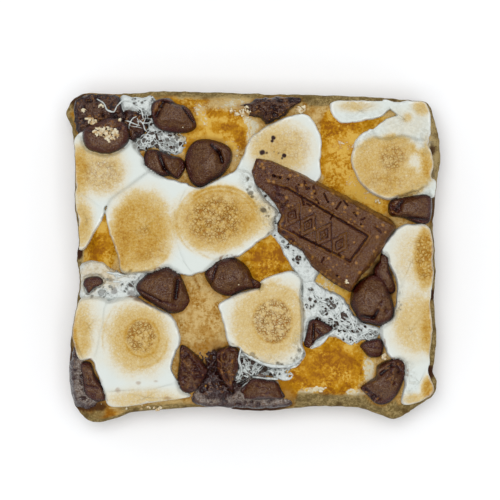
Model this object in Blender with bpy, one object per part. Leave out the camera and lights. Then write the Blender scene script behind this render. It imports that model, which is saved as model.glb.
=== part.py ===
"""A smores bar: a square slab of baked cookie dough with toasted marshmallows, melted marshmallow,
chocolate chips and one broken piece of moulded chocolate sunk into its top.

Sizes are in millimetres and become Blender's metres where a mesh is made. X runs across the bar,
Y from its front edge to its back edge and Z up. The origin is the middle of the underside.
"""

import math
from dataclasses import dataclass

import bmesh
import bpy
import numpy as np
from mathutils import Vector, noise

MM = 0.001
# Clearance between neighbouring pieces, and how far a column that clears room for one reaches up.
GAP = 0.4
ABOVE_ALL = 40.0

# The slab's outline seen from above, anticlockwise from the right edge.
SLAB_OUTLINE = (
    (40.2, -1.3), (39.7, 5.3), (40.0, 11.3), (40.4, 15.8), (41.3, 21.3), (41.1, 25.8),
    (40.0, 30.6), (38.4, 34.0), (34.0, 34.7), (26.2, 35.3), (12.9, 35.7), (-0.4, 36.0),
    (-13.8, 36.4), (-20.4, 36.5), (-29.3, 36.0), (-36.0, 36.2), (-39.5, 35.1), (-41.3, 31.7),
    (-40.0, 28.2), (-39.3, 21.3), (-39.3, 11.3), (-38.3, 3.6), (-38.9, 0.0), (-38.2, -4.9),
    (-38.9, -10.7), (-40.0, -17.5), (-40.6, -26.6), (-39.7, -31.5), (-37.3, -35.3), (-34.4, -36.5),
    (-29.7, -35.4), (-24.9, -34.0), (-8.2, -32.9), (-2.7, -33.7), (5.1, -33.7), (14.0, -32.9),
    (22.9, -33.1), (28.0, -34.6), (31.7, -35.7), (34.6, -34.4), (36.9, -32.4), (40.0, -30.4),
    (40.6, -28.0), (39.7, -25.3), (40.4, -19.8), (40.0, -9.8),
)
SLAB_HALF_WIDTH = 41.0
SLAB_HALF_DEPTH = 36.0
SLAB_CELLS = (24, 22)
OUTLINE_STEPS = 6
# How far the side wall stands in from the outline at each height, from the top edge down.
SLAB_WALL = ((0.35, 16.6), (0.0, 12.0), (0.25, 6.5), (0.3, 1.8), (1.1, 0.0))
SLAB_EDGE_INSET = 1.0
SLAB_EDGE_HEIGHT = 18.4
DOUGH_LEVEL = 20.4
DOUGH_ROUGHNESS = 0.5
WALL_ROUGHNESS = 0.45
EDGE_FALL = 0.13


@dataclass(frozen=True)
class Hump:
    """A raised patch of dough: its middle, its two half widths, its turn in degrees and its rise."""

    x: float
    y: float
    rx: float
    ry: float
    tilt: float
    rise: float


HUMPS = (
    Hump(-7.0, 29.6, 8.0, 6.5, -10, 2.0),
    Hump(-33.0, 3.5, 3.4, 6.5, -15, 1.6),
    Hump(20.0, 23.0, 6.0, 10.0, 0, 1.8),
    Hump(-11.0, -12.0, 6.0, 8.0, 0, 1.2),
    Hump(3.5, -0.4, 6.0, 5.0, 30, 1.8),
    Hump(16.0, -25.5, 10.0, 7.0, 15, 2.4),
)

# Rings of a topping, from its foot to its crown: share of its radius, share of its rise.
MARSHMALLOW_RINGS = ((1.0, 0.12), (0.97, 0.45), (0.88, 0.76), (0.70, 0.93), (0.38, 0.99))
FOAM_RINGS = ((1.0, 0.35), (0.90, 0.80), (0.60, 0.95))
CHIP_RINGS = ((1.0, 0.10), (0.90, 0.42), (0.70, 0.68), (0.40, 0.90))
MELT_RINGS = ((1.0, 0.30), (0.86, 0.72), (0.52, 0.95))
DISC_RINGS = ((1.0, 0.20), (0.98, 0.62), (0.86, 0.90), (0.60, 1.0))

# Sides, share of the radius at the foot, and unevenness of the rim for each kind of topping.
SIDES = {"marshmallow": 22, "foam": 18, "chip": 16, "melt": 16, "disc": 20}
RINGS = {
    "marshmallow": MARSHMALLOW_RINGS,
    "foam": FOAM_RINGS,
    "chip": CHIP_RINGS,
    "melt": MELT_RINGS,
    "disc": DISC_RINGS,
}
UNEVEN = {"marshmallow": 0.35, "foam": 0.6, "chip": 0.2, "melt": 0.5, "disc": 0.15}
FOOT_SHARE = 0.93
SHOULDER = 19.2
UNEVEN_WIDTH = 5.0


@dataclass(frozen=True)
class Topping:
    """A piece sunk in the dough, standing on a rounded outline about its own middle.

    rx and ry are its half widths before it is turned by tilt degrees, and square is how boxy its
    outline is. foot and top are the heights of its underside and crown. lean is how far its crown
    stands off its middle, along X and Y. Each of lobes pulls the rim out over a sector: direction
    in degrees, reach, and half width in degrees.
    """

    name: str
    kind: str
    x: float
    y: float
    rx: float
    ry: float
    tilt: float = 0.0
    square: float = 2.2
    foot: float = 16.5
    top: float = 25.0
    lean: tuple = (0.0, 0.0)
    lobes: tuple = ()

    def radius(self, angle):
        """Distance from the middle to the rim in a direction, in radians."""
        turned = angle - math.radians(self.tilt)
        across = abs(math.cos(turned) / self.rx) ** self.square
        along = abs(math.sin(turned) / self.ry) ** self.square
        reach = (across + along) ** (-1.0 / self.square)
        for direction, pull, width in self.lobes:
            off = (math.degrees(angle) - direction + 180.0) % 360.0 - 180.0
            reach += pull * math.exp(-((off / width) ** 2))
        place = Vector((math.cos(angle), math.sin(angle), self.x * 0.37 + self.y * 0.11))
        return reach + UNEVEN[self.kind] * noise.noise(place * 1.7)


def marshmallow(number, *place, **shape):
    return Topping(f"marshmallow_{number:02d}", "marshmallow", *place, **shape)


def chip(number, *place, **shape):
    shape.setdefault("foot", 17.6)
    return Topping(f"chip_{number:02d}", "chip", *place, **shape)


def foam(number, *place, **shape):
    return Topping(f"melted_marshmallow_{number}", "foam", *place, foot=17.2, **shape)


def melt(name, *place, **shape):
    return Topping(name, "melt", *place, **shape)


# Every piece in the order in which they claim their room: a piece gives way to those before it.
TOPPINGS = (
    # Back edge, left to right.
    Topping("chocolate_disc", "disc", -32.3, 27.0, 5.6, 5.2, foot=17.4, top=25.2),
    chip(1, -17.4, 31.2, 5.2, 4.0, tilt=-12, top=25.0, lean=(-1.2, 1.0), lobes=((125, 1.0, 22),)),
    chip(3, -9.8, 20.8, 5.2, 5.3, tilt=20, top=25.8, lean=(0.9, 0.9), lobes=((250, 0.5, 20),)),
    chip(2, -19.6, 20.6, 4.7, 3.2, tilt=-24, top=24.2, lean=(-1.0, 0.2)),
    chip(4, 3.8, 32.2, 4.6, 2.9, tilt=12, top=23.4, lean=(0.4, 0.3)),
    melt("melted_chocolate_back_left", -33.4, 32.0, 6.4, 4.3, tilt=-4, top=22.9),
    melt("melted_chocolate_back", -26.6, 29.6, 3.2, 4.0, tilt=20, top=22.4),
    # Middle and right.
    chip(5, 35.6, 10.4, 5.2, 3.1, tilt=4, square=2.7, top=24.0, lean=(-0.4, 0.2)),
    chip(6, -35.6, -6.2, 2.2, 1.8, tilt=15, square=2.8, top=22.6),
    chip(7, -19.5, -7.6, 5.6, 4.7, tilt=-18, top=25.6, lean=(0.8, -0.3), lobes=((172, 0.7, 18),)),
    chip(8, -4.9, -4.4, 5.3, 4.1, tilt=-8, top=25.4, lean=(-0.2, 0.5), lobes=((338, 0.9, 12),)),
    chip(13, 26.9, -9.8, 4.8, 5.8, tilt=8, top=26.0, lean=(0.6, -1.6)),
    chip(16, 29.9, -3.9, 2.3, 3.4, tilt=20, top=23.4),
    # Front edge, left to right.
    chip(15, -35.3, -28.1, 2.8, 4.7, tilt=22, square=2.6, top=23.6),
    melt("melted_chocolate_left", -39.6, -27.6, 1.9, 6.6, tilt=-4, foot=15.0, top=20.2),
    chip(9, -13.6, -25.4, 3.3, 5.2, tilt=14, square=2.5, top=24.4, lean=(-0.4, -0.6)),
    chip(10, -5.1, -24.8, 3.0, 5.1, tilt=-8, square=2.5, top=24.2, lean=(0.3, 0.9)),
    chip(12, 2.4, -29.7, 5.5, 2.6, tilt=-3, top=23.4, lean=(0.3, 0.2)),
    melt("melted_chocolate_front", -2.0, -30.6, 10.4, 3.4, tilt=-2, foot=14.6, top=21.2),
    chip(11, 14.7, -17.4, 3.2, 3.2, tilt=10, top=23.2, lean=(-0.5, -0.3)),
    chip(14, 26.7, -20.7, 2.6, 2.1, tilt=-8, square=2.8, top=23.0),
    chip(17, 29.0, -28.2, 4.9, 4.9, tilt=40, top=24.2, lean=(0.6, 0.8), lobes=((215, 0.9, 22),)),
    # Marshmallows, from those that stand highest.
    marshmallow(4, -6.9, 7.7, 10.0, 9.3, tilt=12, square=2.3, top=26.2),
    marshmallow(3, -23.5, 7.0, 8.7, 10.3, tilt=8, square=2.6, top=25.8),
    marshmallow(12, 2.6, -14.3, 9.4, 9.9, tilt=-8, square=2.7, top=26.0),
    marshmallow(10, -24.9, -18.6, 8.9, 9.9, tilt=6, square=2.4, top=25.9),
    marshmallow(5, 7.0, 22.4, 8.9, 8.7, tilt=-10, square=2.4, top=24.8, lobes=((198, 1.6, 24),)),
    marshmallow(8, 31.3, 20.2, 9.3, 7.7, tilt=-14, square=2.3, top=26.0),
    marshmallow(13, 35.2, -15.9, 6.9, 6.9, tilt=-30, square=2.2, top=25.4),
    marshmallow(9, 36.2, -0.6, 6.2, 8.2, tilt=5, square=2.4, top=25.4),
    marshmallow(14, 37.6, -27.4, 4.7, 5.9, tilt=0, square=2.4, top=23.4),
    marshmallow(1, -32.6, 19.2, 8.8, 6.6, tilt=24, square=2.3, top=25.0),
    marshmallow(2, -38.4, 8.4, 4.9, 6.2, tilt=-8, square=2.3, top=24.4),
    marshmallow(11, -38.4, -15.6, 4.4, 7.4, tilt=4, square=2.4, top=24.6),
    marshmallow(16, -22.8, -31.8, 9.4, 3.2, tilt=-2, square=2.8, top=22.8),
    marshmallow(6, 24.0, 32.3, 6.8, 2.8, tilt=0, square=2.5, top=23.6),
    marshmallow(7, 35.4, 30.6, 5.8, 4.8, tilt=-12, square=2.3, top=23.4),
    marshmallow(15, 37.0, 14.6, 4.2, 2.4, tilt=14, square=2.2, top=22.8),
    # Melted marshmallow between the others.
    foam(1, -21.4, 26.4, 6.6, 3.6, tilt=-18, square=2.2, top=21.9),
    foam(2, -32.6, -5.6, 6.4, 4.0, tilt=-14, square=2.3, top=21.9),
    foam(3, 5.0, 9.6, 3.6, 9.6, tilt=30, square=2.3, top=22.2),
    foam(4, 17.6, -13.0, 9.2, 5.4, tilt=-38, square=2.4, top=22.0),
    foam(5, 3.4, -25.0, 6.6, 3.0, tilt=-12, square=2.2, top=21.8),
)

# The broken piece of moulded chocolate, clockwise from its back left corner.
PIECE_CORNERS = (
    (0.2, 21.3), (2.7, 21.3), (7.8, 19.8), (14.7, 16.9), (21.8, 13.1), (31.3, 8.2), (32.2, 6.7),
    (28.9, 1.3), (26.6, -2.7), (21.8, -8.0), (16.4, -5.6), (12.7, -2.2), (11.5, 0.2), (8.4, 2.4),
    (5.8, 5.8), (5.8, 7.3), (6.9, 9.5), (5.1, 11.8), (3.6, 12.7), (2.4, 14.9), (0.9, 15.8),
    (0.0, 18.4),
)
PIECE_FOOT = 20.9
# How far the side stands in from the outline at each height, from the foot up.
PIECE_SIDE = ((0.0, PIECE_FOOT), (0.35, 25.5), (0.9, 26.3))
PIECE_TOP = PIECE_SIDE[-1][1]
# Its sunken panel, from the front right corner round to the broken end, which it runs out of.
PANEL_CORNERS = ((19.9, -2.9), (26.0, 4.5), (8.2, 15.2), (2.6, 16.0), (0.0, 10.0), (3.0, 7.6))
PANEL_DEPTH = 0.7
# The row of raised lozenges in the panel: first middle, step to the next, and half diagonals.
LOZENGES = 4
LOZENGE_FIRST = (19.6, 2.6)
LOZENGE_SLOPE = math.radians(149.0)
LOZENGE_PITCH = 4.1
LOZENGE_HALF = (1.5, 2.7)
LOZENGE_RISE = 0.45


def clear_scene():
    for obj in list(bpy.data.objects):
        bpy.data.objects.remove(obj, do_unlink=True)


def material(name, colour, roughness):
    """A plain finish of one colour for the solid."""
    made = bpy.data.materials.new(name)
    made.use_nodes = True
    shader = made.node_tree.nodes["Principled BSDF"]
    shader.inputs["Base Color"].default_value = (*colour, 1.0)
    shader.inputs["Roughness"].default_value = roughness
    shader.inputs["Metallic"].default_value = 0.0
    return made


def finish_object(name, shape, finish, smooth=True):
    """Turns a bmesh in millimetres into an object in metres."""
    for vertex in shape.verts:
        vertex.co *= MM
    bmesh.ops.recalc_face_normals(shape, faces=shape.faces)
    mesh = bpy.data.meshes.new(name)
    shape.to_mesh(mesh)
    shape.free()
    if smooth:
        mesh.shade_smooth()
        mesh.set_sharp_from_angle(angle=math.radians(50))
    obj = bpy.data.objects.new(name, mesh)
    bpy.context.scene.collection.objects.link(obj)
    if finish:
        mesh.materials.append(finish)
    return obj


def smooth_loop(points, steps):
    """A closed Catmull-Rom curve through the points, with this many steps between each two."""
    corners = np.array(points, float)
    before, after, beyond = (np.roll(corners, shift, axis=0) for shift in (1, -1, -2))
    curve = []
    for share in np.arange(steps) / steps:
        a = -share + 2 * share**2 - share**3
        b = 2 - 5 * share**2 + 3 * share**3
        c = share + 4 * share**2 - 3 * share**3
        d = -(share**2) + share**3
        curve.append(0.5 * (a * before + b * corners + c * after + d * beyond))
    return np.stack(curve, axis=1).reshape(-1, 2)


def polar_table(points):
    """Angles and distances of a loop round the origin, sorted for a periodic lookup."""
    angles = np.arctan2(points[:, 1], points[:, 0])
    order = np.argsort(angles)
    return angles[order], np.hypot(points[:, 0], points[:, 1])[order]


SLAB_ANGLES, SLAB_RADII = polar_table(smooth_loop(SLAB_OUTLINE, OUTLINE_STEPS))


def slab_radius(angle):
    """Distance from the bar's middle to the slab's outline in a direction."""
    return float(np.interp(angle, SLAB_ANGLES, SLAB_RADII, period=2 * math.pi))


def held_inside(x, y, inset):
    """The point itself, or the nearest one towards the bar's middle that the slab carries."""
    angle = math.atan2(y, x)
    limit = slab_radius(angle) - inset
    reach = math.hypot(x, y)
    share = min(1.0, limit / reach) if reach else 1.0
    return x * share, y * share


def dough_height(x, y, rim):
    """Height of the dough's surface. rim is 0 in the middle of the bar and 1 at its edge."""
    height = DOUGH_LEVEL
    for hump in HUMPS:
        turn = math.radians(hump.tilt)
        across = (x - hump.x) * math.cos(turn) + (y - hump.y) * math.sin(turn)
        along = (y - hump.y) * math.cos(turn) - (x - hump.x) * math.sin(turn)
        height += hump.rise * math.exp(-((across / hump.rx) ** 4 + (along / hump.ry) ** 4))
    height += DOUGH_ROUGHNESS * noise.noise(Vector((x, y, 0)) * 0.35)
    fall = min(1.0, max(0.0, (rim - 1.0 + EDGE_FALL) / EDGE_FALL)) ** 2
    return height + (SLAB_EDGE_HEIGHT - height) * fall


def wall_point(angle, inset, height):
    """A point of the slab's side wall, with its crags."""
    reach = slab_radius(angle) - inset
    flat = Vector((math.cos(angle), math.sin(angle), 0.0)) * reach
    place = Vector((flat.x, flat.y, height)) * 0.30
    crag = noise.noise(place) + 0.5 * noise.noise(place * 2.6)
    reach -= WALL_ROUGHNESS * (0.5 + crag)
    return Vector((math.cos(angle) * reach, math.sin(angle) * reach, height))


def slab_body():
    """The slab before the toppings take their room: a warped grid with a wall below its rim."""
    shape = bmesh.new()
    columns, rows = SLAB_CELLS
    bmesh.ops.create_grid(shape, x_segments=columns, y_segments=rows, size=1.0)
    for vertex in shape.verts:
        x, y = vertex.co.x * SLAB_HALF_WIDTH, vertex.co.y * SLAB_HALF_DEPTH
        rim = max(abs(vertex.co.x), abs(vertex.co.y))
        angle = math.atan2(y, x)
        square = 1.0 / max(
            abs(math.cos(angle)) / SLAB_HALF_WIDTH, abs(math.sin(angle)) / SLAB_HALF_DEPTH
        )
        stretch = (slab_radius(angle) - SLAB_EDGE_INSET) / square
        x, y = x * stretch, y * stretch
        vertex.co = Vector((x, y, dough_height(x, y, rim)))
    rim_edges = [edge for edge in shape.edges if edge.is_boundary]
    for inset, height in SLAB_WALL:
        made = bmesh.ops.extrude_edge_only(shape, edges=rim_edges)
        rim_edges = [item for item in made["geom"] if isinstance(item, bmesh.types.BMEdge)]
        corners = {vertex for edge in rim_edges for vertex in edge.verts}
        for vertex in corners:
            vertex.co = wall_point(math.atan2(vertex.co.y, vertex.co.x), inset, height)
    bmesh.ops.contextual_create(shape, geom=rim_edges)
    return shape


def ring_of(shape, points):
    return [shape.verts.new(point) for point in points]


def join_rings(shape, lower, upper):
    count = len(lower)
    for index in range(count):
        after = (index + 1) % count
        shape.faces.new((lower[index], lower[after], upper[after], upper[index]))


def topping_body(topping, inset):
    """A topping's own solid: foot, side and dome in rings, held inside the slab's outline."""
    shape = bmesh.new()
    sides = SIDES[topping.kind]
    angles = [2 * math.pi * index / sides for index in range(sides)]
    shoulder = min(SHOULDER, topping.top - 1.5)
    rise = topping.top - shoulder
    levels = [(FOOT_SHARE, topping.foot, 0.0)]
    levels += [
        (share, shoulder + rise * lift, lift) for share, lift in RINGS[topping.kind]
    ]
    below = None
    for share, height, lift in levels:
        points = []
        for angle in angles:
            reach = topping.radius(angle) * share
            x = topping.x + reach * math.cos(angle) + topping.lean[0] * lift * (1 - share)
            y = topping.y + reach * math.sin(angle) + topping.lean[1] * lift * (1 - share)
            x, y = held_inside(x, y, inset)
            points.append((x, y, height))
        ring = ring_of(shape, points)
        if below:
            join_rings(shape, below, ring)
        else:
            shape.faces.new(ring[::-1])
        below = ring
    crown = Vector((topping.x + topping.lean[0], topping.y + topping.lean[1], topping.top))
    tip = shape.verts.new(crown)
    for index in range(sides):
        shape.faces.new((below[index], below[(index + 1) % sides], tip))
    return shape


def prism(points, low, high):
    """A straight column over an outline, anticlockwise, between two heights."""
    shape = bmesh.new()
    lower = ring_of(shape, [(x, y, low) for x, y in points])
    upper = ring_of(shape, [(x, y, high) for x, y in points])
    shape.faces.new(lower[::-1])
    join_rings(shape, lower, upper)
    shape.faces.new(upper)
    return shape


def topping_room(topping):
    """The column that has to be clear of every other piece for this topping."""
    sides = SIDES[topping.kind]
    points = []
    for index in range(sides):
        angle = 2 * math.pi * index / sides
        reach = topping.radius(angle) + GAP
        points.append((topping.x + reach * math.cos(angle), topping.y + reach * math.sin(angle)))
    return prism(points, topping.foot - GAP, ABOVE_ALL)


def moved_out(points, distance):
    """A closed outline, anticlockwise, with each side moved out by a distance."""
    corners = [Vector(point) for point in points]
    count = len(corners)
    moved = []
    for index, corner in enumerate(corners):
        arriving = (corner - corners[index - 1]).normalized()
        leaving = (corners[(index + 1) % count] - corner).normalized()
        first = Vector((arriving.y, -arriving.x))
        second = Vector((leaving.y, -leaving.x))
        middle = (first + second).normalized()
        moved.append(corner + middle * distance / max(0.5, middle.dot(first)))
    return [tuple(point) for point in moved]


def piece_outline():
    """The chocolate piece's outline, anticlockwise."""
    return list(reversed(PIECE_CORNERS))


def piece_body():
    """The broken chocolate piece: drafted sides, a worn top edge, and a flat top."""
    shape = bmesh.new()
    outline = piece_outline()
    below = None
    for inset, height in PIECE_SIDE:
        ring = ring_of(shape, [(x, y, height) for x, y in moved_out(outline, -inset)])
        if below:
            join_rings(shape, below, ring)
        else:
            shape.faces.new(ring[::-1])
        below = ring
    shape.faces.new(below)
    return shape


def lozenge(number):
    """One raised lozenge of the row in the panel."""
    along = Vector((math.cos(LOZENGE_SLOPE), math.sin(LOZENGE_SLOPE)))
    across = Vector((-along.y, along.x))
    middle = Vector(LOZENGE_FIRST) + along * number * LOZENGE_PITCH
    half_along, half_across = LOZENGE_HALF
    points = (
        middle + along * half_along,
        middle + across * half_across,
        middle - along * half_along,
        middle - across * half_across,
    )
    low = PIECE_TOP - PANEL_DEPTH
    return prism(points, low - PANEL_DEPTH, low + LOZENGE_RISE)


def as_cutter(name, shape, group):
    """A helper that only clears room, kept out of the finished model."""
    obj = finish_object(name, shape, None, smooth=False)
    obj.hide_render = True
    obj.display_type = "WIRE"
    bpy.context.scene.collection.objects.unlink(obj)
    group.objects.link(obj)
    return obj


def boolean(obj, operation, group):
    """Applies one Boolean of the object with everything in a collection."""
    modifier = obj.modifiers.new("boolean", "BOOLEAN")
    modifier.operation = operation
    modifier.operand_type = "COLLECTION"
    modifier.collection = group
    modifier.solver = "EXACT"
    graph = bpy.context.evaluated_depsgraph_get()
    mesh = bpy.data.meshes.new_from_object(obj.evaluated_get(graph))
    obj.modifiers.remove(modifier)
    replace_mesh(obj, mesh)


def replace_mesh(obj, mesh):
    old = obj.data
    name = old.name
    obj.data = mesh
    bpy.data.meshes.remove(old)
    mesh.name = name


def keep_largest(obj):
    """Drops the loose scraps that a cut leaves, and keeps the main body."""
    shape = bmesh.new()
    shape.from_mesh(obj.data)
    bmesh.ops.remove_doubles(shape, verts=shape.verts, dist=1e-7)
    left = set(shape.verts)
    bodies = []
    while left:
        body, front = set(), [left.pop()]
        while front:
            vertex = front.pop()
            body.add(vertex)
            near = {edge.other_vert(vertex) for edge in vertex.link_edges} & left
            left -= near
            front.extend(near)
        bodies.append(body)
    bodies.sort(key=len)
    scraps = [vertex for body in bodies[:-1] for vertex in body]
    bmesh.ops.delete(shape, geom=scraps, context="VERTS")
    bmesh.ops.triangulate(shape, faces=shape.faces)
    shape.to_mesh(obj.data)
    shape.free()


def overlaps(first, second):
    """Whether two objects' boxes meet, seen from above."""
    boxes = []
    for obj in (first, second):
        corners = np.array([vertex.co[:2] for vertex in obj.data.vertices])
        boxes.append((corners.min(axis=0), corners.max(axis=0)))
    (low_a, high_a), (low_b, high_b) = boxes
    return bool((low_a < high_b).all() and (low_b < high_a).all())


def build_piece(finish, rooms):
    """The chocolate piece with its panel and lozenges, and the room that it needs."""
    obj = finish_object("chocolate_piece", piece_body(), finish)
    sunk = bpy.data.collections.new("panel")
    raised = bpy.data.collections.new("lozenges")
    as_cutter("panel_room", prism(PANEL_CORNERS, PIECE_TOP - PANEL_DEPTH, ABOVE_ALL), sunk)
    for number in range(LOZENGES):
        as_cutter(f"lozenge_{number}", lozenge(number), raised)
    boolean(obj, "DIFFERENCE", sunk)
    boolean(obj, "UNION", raised)
    keep_largest(obj)
    outline = moved_out(piece_outline(), GAP)
    rooms.append(
        finish_object("piece_room", prism(outline, PIECE_FOOT - GAP, ABOVE_ALL), None, False)
    )
    return obj


def cut_to_fit(obj, rooms):
    """Cuts from an object the room of every piece that comes before it."""
    near = [room for room in rooms if overlaps(obj, room)]
    if near:
        group = bpy.data.collections.new("room")
        for room in near:
            group.objects.link(room)
        boolean(obj, "DIFFERENCE", group)
        bpy.data.collections.remove(group)
    keep_largest(obj)


def build():
    clear_scene()
    dough = material("baked_dough", (0.40, 0.24, 0.08), 0.8)
    white = material("toasted_marshmallow", (0.72, 0.56, 0.32), 0.6)
    melted = material("melted_marshmallow", (0.72, 0.72, 0.66), 0.45)
    chocolate = material("milk_chocolate", (0.11, 0.06, 0.038), 0.42)
    finishes = {
        "marshmallow": white,
        "foam": melted,
        "chip": chocolate,
        "melt": chocolate,
        "disc": chocolate,
    }
    insets = {"marshmallow": 0.2, "foam": 0.5, "chip": 0.1, "melt": -0.4, "disc": 0.3}
    rooms = []
    build_piece(chocolate, rooms)
    for topping in TOPPINGS:
        shape = topping_body(topping, insets[topping.kind])
        obj = finish_object(topping.name, shape, finishes[topping.kind])
        cut_to_fit(obj, rooms)
        rooms.append(finish_object(f"{topping.name}_room", topping_room(topping), None, False))
    slab = finish_object("cookie_slab", slab_body(), dough)
    cut_to_fit(slab, rooms)
    helpers = rooms + [obj for obj in bpy.data.objects if obj.hide_render]
    for obj in helpers:
        bpy.data.objects.remove(obj, do_unlink=True)


build()
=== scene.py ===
"""Looks of a smores bar: toasted marshmallow, melted marshmallow, chocolate chips, a broken piece of
moulded chocolate and golden baked dough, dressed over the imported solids.

Lengths are in millimetres until a mesh is made, which turns them into metres. X runs across the
bar, Y from its front edge to its back edge and Z up.
"""

from __future__ import annotations

import logging
import math
from dataclasses import dataclass, field
from enum import Enum
from typing import Callable

import bmesh
import bpy
import numpy as np
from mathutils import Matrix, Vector

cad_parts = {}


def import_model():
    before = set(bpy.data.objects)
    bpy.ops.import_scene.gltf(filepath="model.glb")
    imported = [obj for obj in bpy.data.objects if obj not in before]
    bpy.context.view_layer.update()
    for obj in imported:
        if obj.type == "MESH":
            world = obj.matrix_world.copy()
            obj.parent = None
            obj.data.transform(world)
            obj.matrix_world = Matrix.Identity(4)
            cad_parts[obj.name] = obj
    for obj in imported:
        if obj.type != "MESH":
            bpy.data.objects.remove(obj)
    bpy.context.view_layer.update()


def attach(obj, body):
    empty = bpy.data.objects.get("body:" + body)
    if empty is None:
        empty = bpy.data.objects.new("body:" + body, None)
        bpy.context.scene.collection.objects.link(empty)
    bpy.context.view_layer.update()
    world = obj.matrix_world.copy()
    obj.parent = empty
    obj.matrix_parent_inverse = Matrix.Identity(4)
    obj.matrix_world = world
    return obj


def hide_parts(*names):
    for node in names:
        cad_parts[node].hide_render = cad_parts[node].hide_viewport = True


LOG = logging.getLogger("smores_bar")

MM = 0.001

Pair = tuple[float, float]
Line = tuple[float, float, float, float]
Outline = tuple[Pair, ...]
Field = np.ndarray
Colour = tuple[float, float, float]
Hold = Callable[[Field, Field], tuple[Field, Field]]


def smoothstep(low: float, high: float, value: Field) -> Field:
    """Soft step of a field: 0 at low and 1 at high, with flat ends. Low may be the larger."""
    share = np.clip((value - low) / (high - low), 0.0, 1.0)
    return share * share * (3.0 - 2.0 * share)


def ridge(value: Field, middle: float, width: float) -> Field:
    """1 where a field has one value, falling away over a width on both sides."""
    return np.exp(-(((value - middle) / width) ** 2))


def srgb(red: int, green: int, blue: int) -> Colour:
    """Linear colour of a screen colour, whose channels run from 0 to 255."""
    shares = (red / 255.0, green / 255.0, blue / 255.0)
    return tuple(s / 12.92 if s <= 0.04045 else ((s + 0.055) / 1.055) ** 2.4 for s in shares)


def lattice(cells: Field, seed: int) -> Field:
    """Random values from -1 to 1 of whole-numbered cells.

    Args:
        cells: Whole numbers, three to a row.
        seed: Which set of random values.

    Returns:
        One value for each row.
    """
    mixed = cells[:, 0] * 374761393 + cells[:, 1] * 668265263 + cells[:, 2] * 1103515245
    mixed = (mixed + seed * 1274126177) & 0xFFFFFFFF
    mixed = ((mixed ^ (mixed >> 13)) * 1274126177) & 0xFFFFFFFF
    mixed ^= mixed >> 16
    return mixed / 0x7FFFFFFF - 1.0


def grain(x: Field, y: Field, z: Field | float, size: float, seed: int) -> Field:
    """Smooth random field.

    Args:
        x: Places across the bar.
        y: Places along the bar.
        z: Heights, or one height.
        size: Distance between two independent values.
        seed: Which field.

    Returns:
        Values from -1 to 1.
    """
    places = np.stack(np.broadcast_arrays(x, y, z), axis=-1).reshape(-1, 3) / size + 1000.0
    corner = np.floor(places).astype(np.int64)
    share = places - corner
    share = share * share * (3.0 - 2.0 * share)
    total = np.zeros(len(places))
    for step in np.ndindex(2, 2, 2):
        weight = np.prod(np.where(np.array(step) == 1, share, 1.0 - share), axis=1)
        total += weight * lattice(corner + np.array(step), seed)
    return total.reshape(np.shape(x))


def rough_grain(x: Field, y: Field, z: Field | float, size: float, seed: int) -> Field:
    """Random field of three sizes at once, from -1 to 1.

    Args:
        x: Places across the bar.
        y: Places along the bar.
        z: Heights, or one height.
        size: Size of the largest of the three.
        seed: Which field.

    Returns:
        The summed field.
    """
    total = grain(x, y, z, size, seed)
    total = total + 0.5 * grain(x, y, z, size * 0.47, seed + 1)
    return (total + 0.25 * grain(x, y, z, size * 0.21, seed + 2)) / 1.75


def distance_to_line(x: Field, y: Field, line: Line) -> Field:
    """Distance from places to a straight stretch between two ends.

    Args:
        x: Places across the bar.
        y: Places along the bar.
        line: X and Y of one end, then of the other.

    Returns:
        The distances.
    """
    x0, y0, x1, y1 = line
    run_x, run_y = x1 - x0, y1 - y0
    length = max(run_x * run_x + run_y * run_y, 1e-9)
    share = np.clip(((x - x0) * run_x + (y - y0) * run_y) / length, 0.0, 1.0)
    return np.hypot(x - x0 - share * run_x, y - y0 - share * run_y)


@dataclass(frozen=True)
class Spot:
    """A soft oval patch.

    Attributes:
        x: Middle across the bar.
        y: Middle along the bar.
        rx: Half width before the turn.
        ry: Half depth before the turn.
        strength: What the patch reaches in its middle.
        soft: Share of its radius over which it fades.
        tilt: Turn in degrees.
    """

    x: float
    y: float
    rx: float
    ry: float
    strength: float = 1.0
    soft: float = 0.3
    tilt: float = 0.0

    def cover(self, x: Field, y: Field, wobble: Field | float = 0.0) -> Field:
        """How much of the patch lies at each place.

        Args:
            x: Places across the bar.
            y: Places along the bar.
            wobble: Share of the radius by which the rim moves out.

        Returns:
            Values from 0 to the patch's strength.
        """
        reach = np.hypot(*self.turned(x, y)) - wobble
        return self.strength * smoothstep(1.0 + self.soft, 1.0 - self.soft, reach)

    def turned(self, x: Field, y: Field) -> tuple[Field, Field]:
        """Places measured from the middle along both half axes, as shares of them."""
        turn = math.radians(self.tilt)
        across = ((x - self.x) * math.cos(turn) + (y - self.y) * math.sin(turn)) / self.rx
        along = ((y - self.y) * math.cos(turn) - (x - self.x) * math.sin(turn)) / self.ry
        return across, along

    def place(self, random: np.random.Generator) -> tuple[float, float, float]:
        """Draws a place in the patch.

        Args:
            random: Source of the draw.

        Returns:
            Its X and Y, and its share of the way from the middle to the rim.
        """
        way, out = random.uniform(0, 2 * math.pi), math.sqrt(random.uniform(0, 1))
        across, along = out * self.rx * math.cos(way), out * self.ry * math.sin(way)
        turn = math.radians(self.tilt)
        x = self.x + across * math.cos(turn) - along * math.sin(turn)
        y = self.y + across * math.sin(turn) + along * math.cos(turn)
        return x, y, out


def total_cover(spots: tuple[Spot, ...], x: Field, y: Field, wobble: Field | float = 0.0) -> Field:
    """Patches laid over each other like thin washes of colour.

    Args:
        spots: The patches. One of negative strength clears what lies under it.
        x: Places across the bar.
        y: Places along the bar.
        wobble: Share of each radius by which the rims move out.

    Returns:
        Values from 0 to 1.
    """
    total = np.zeros(np.shape(x))
    for spot in spots:
        cover = spot.cover(x, y, wobble)
        total = total + cover * (1.0 - total) if spot.strength > 0 else total * (1.0 + cover)
    return np.clip(total, 0.0, 1.0)


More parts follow.
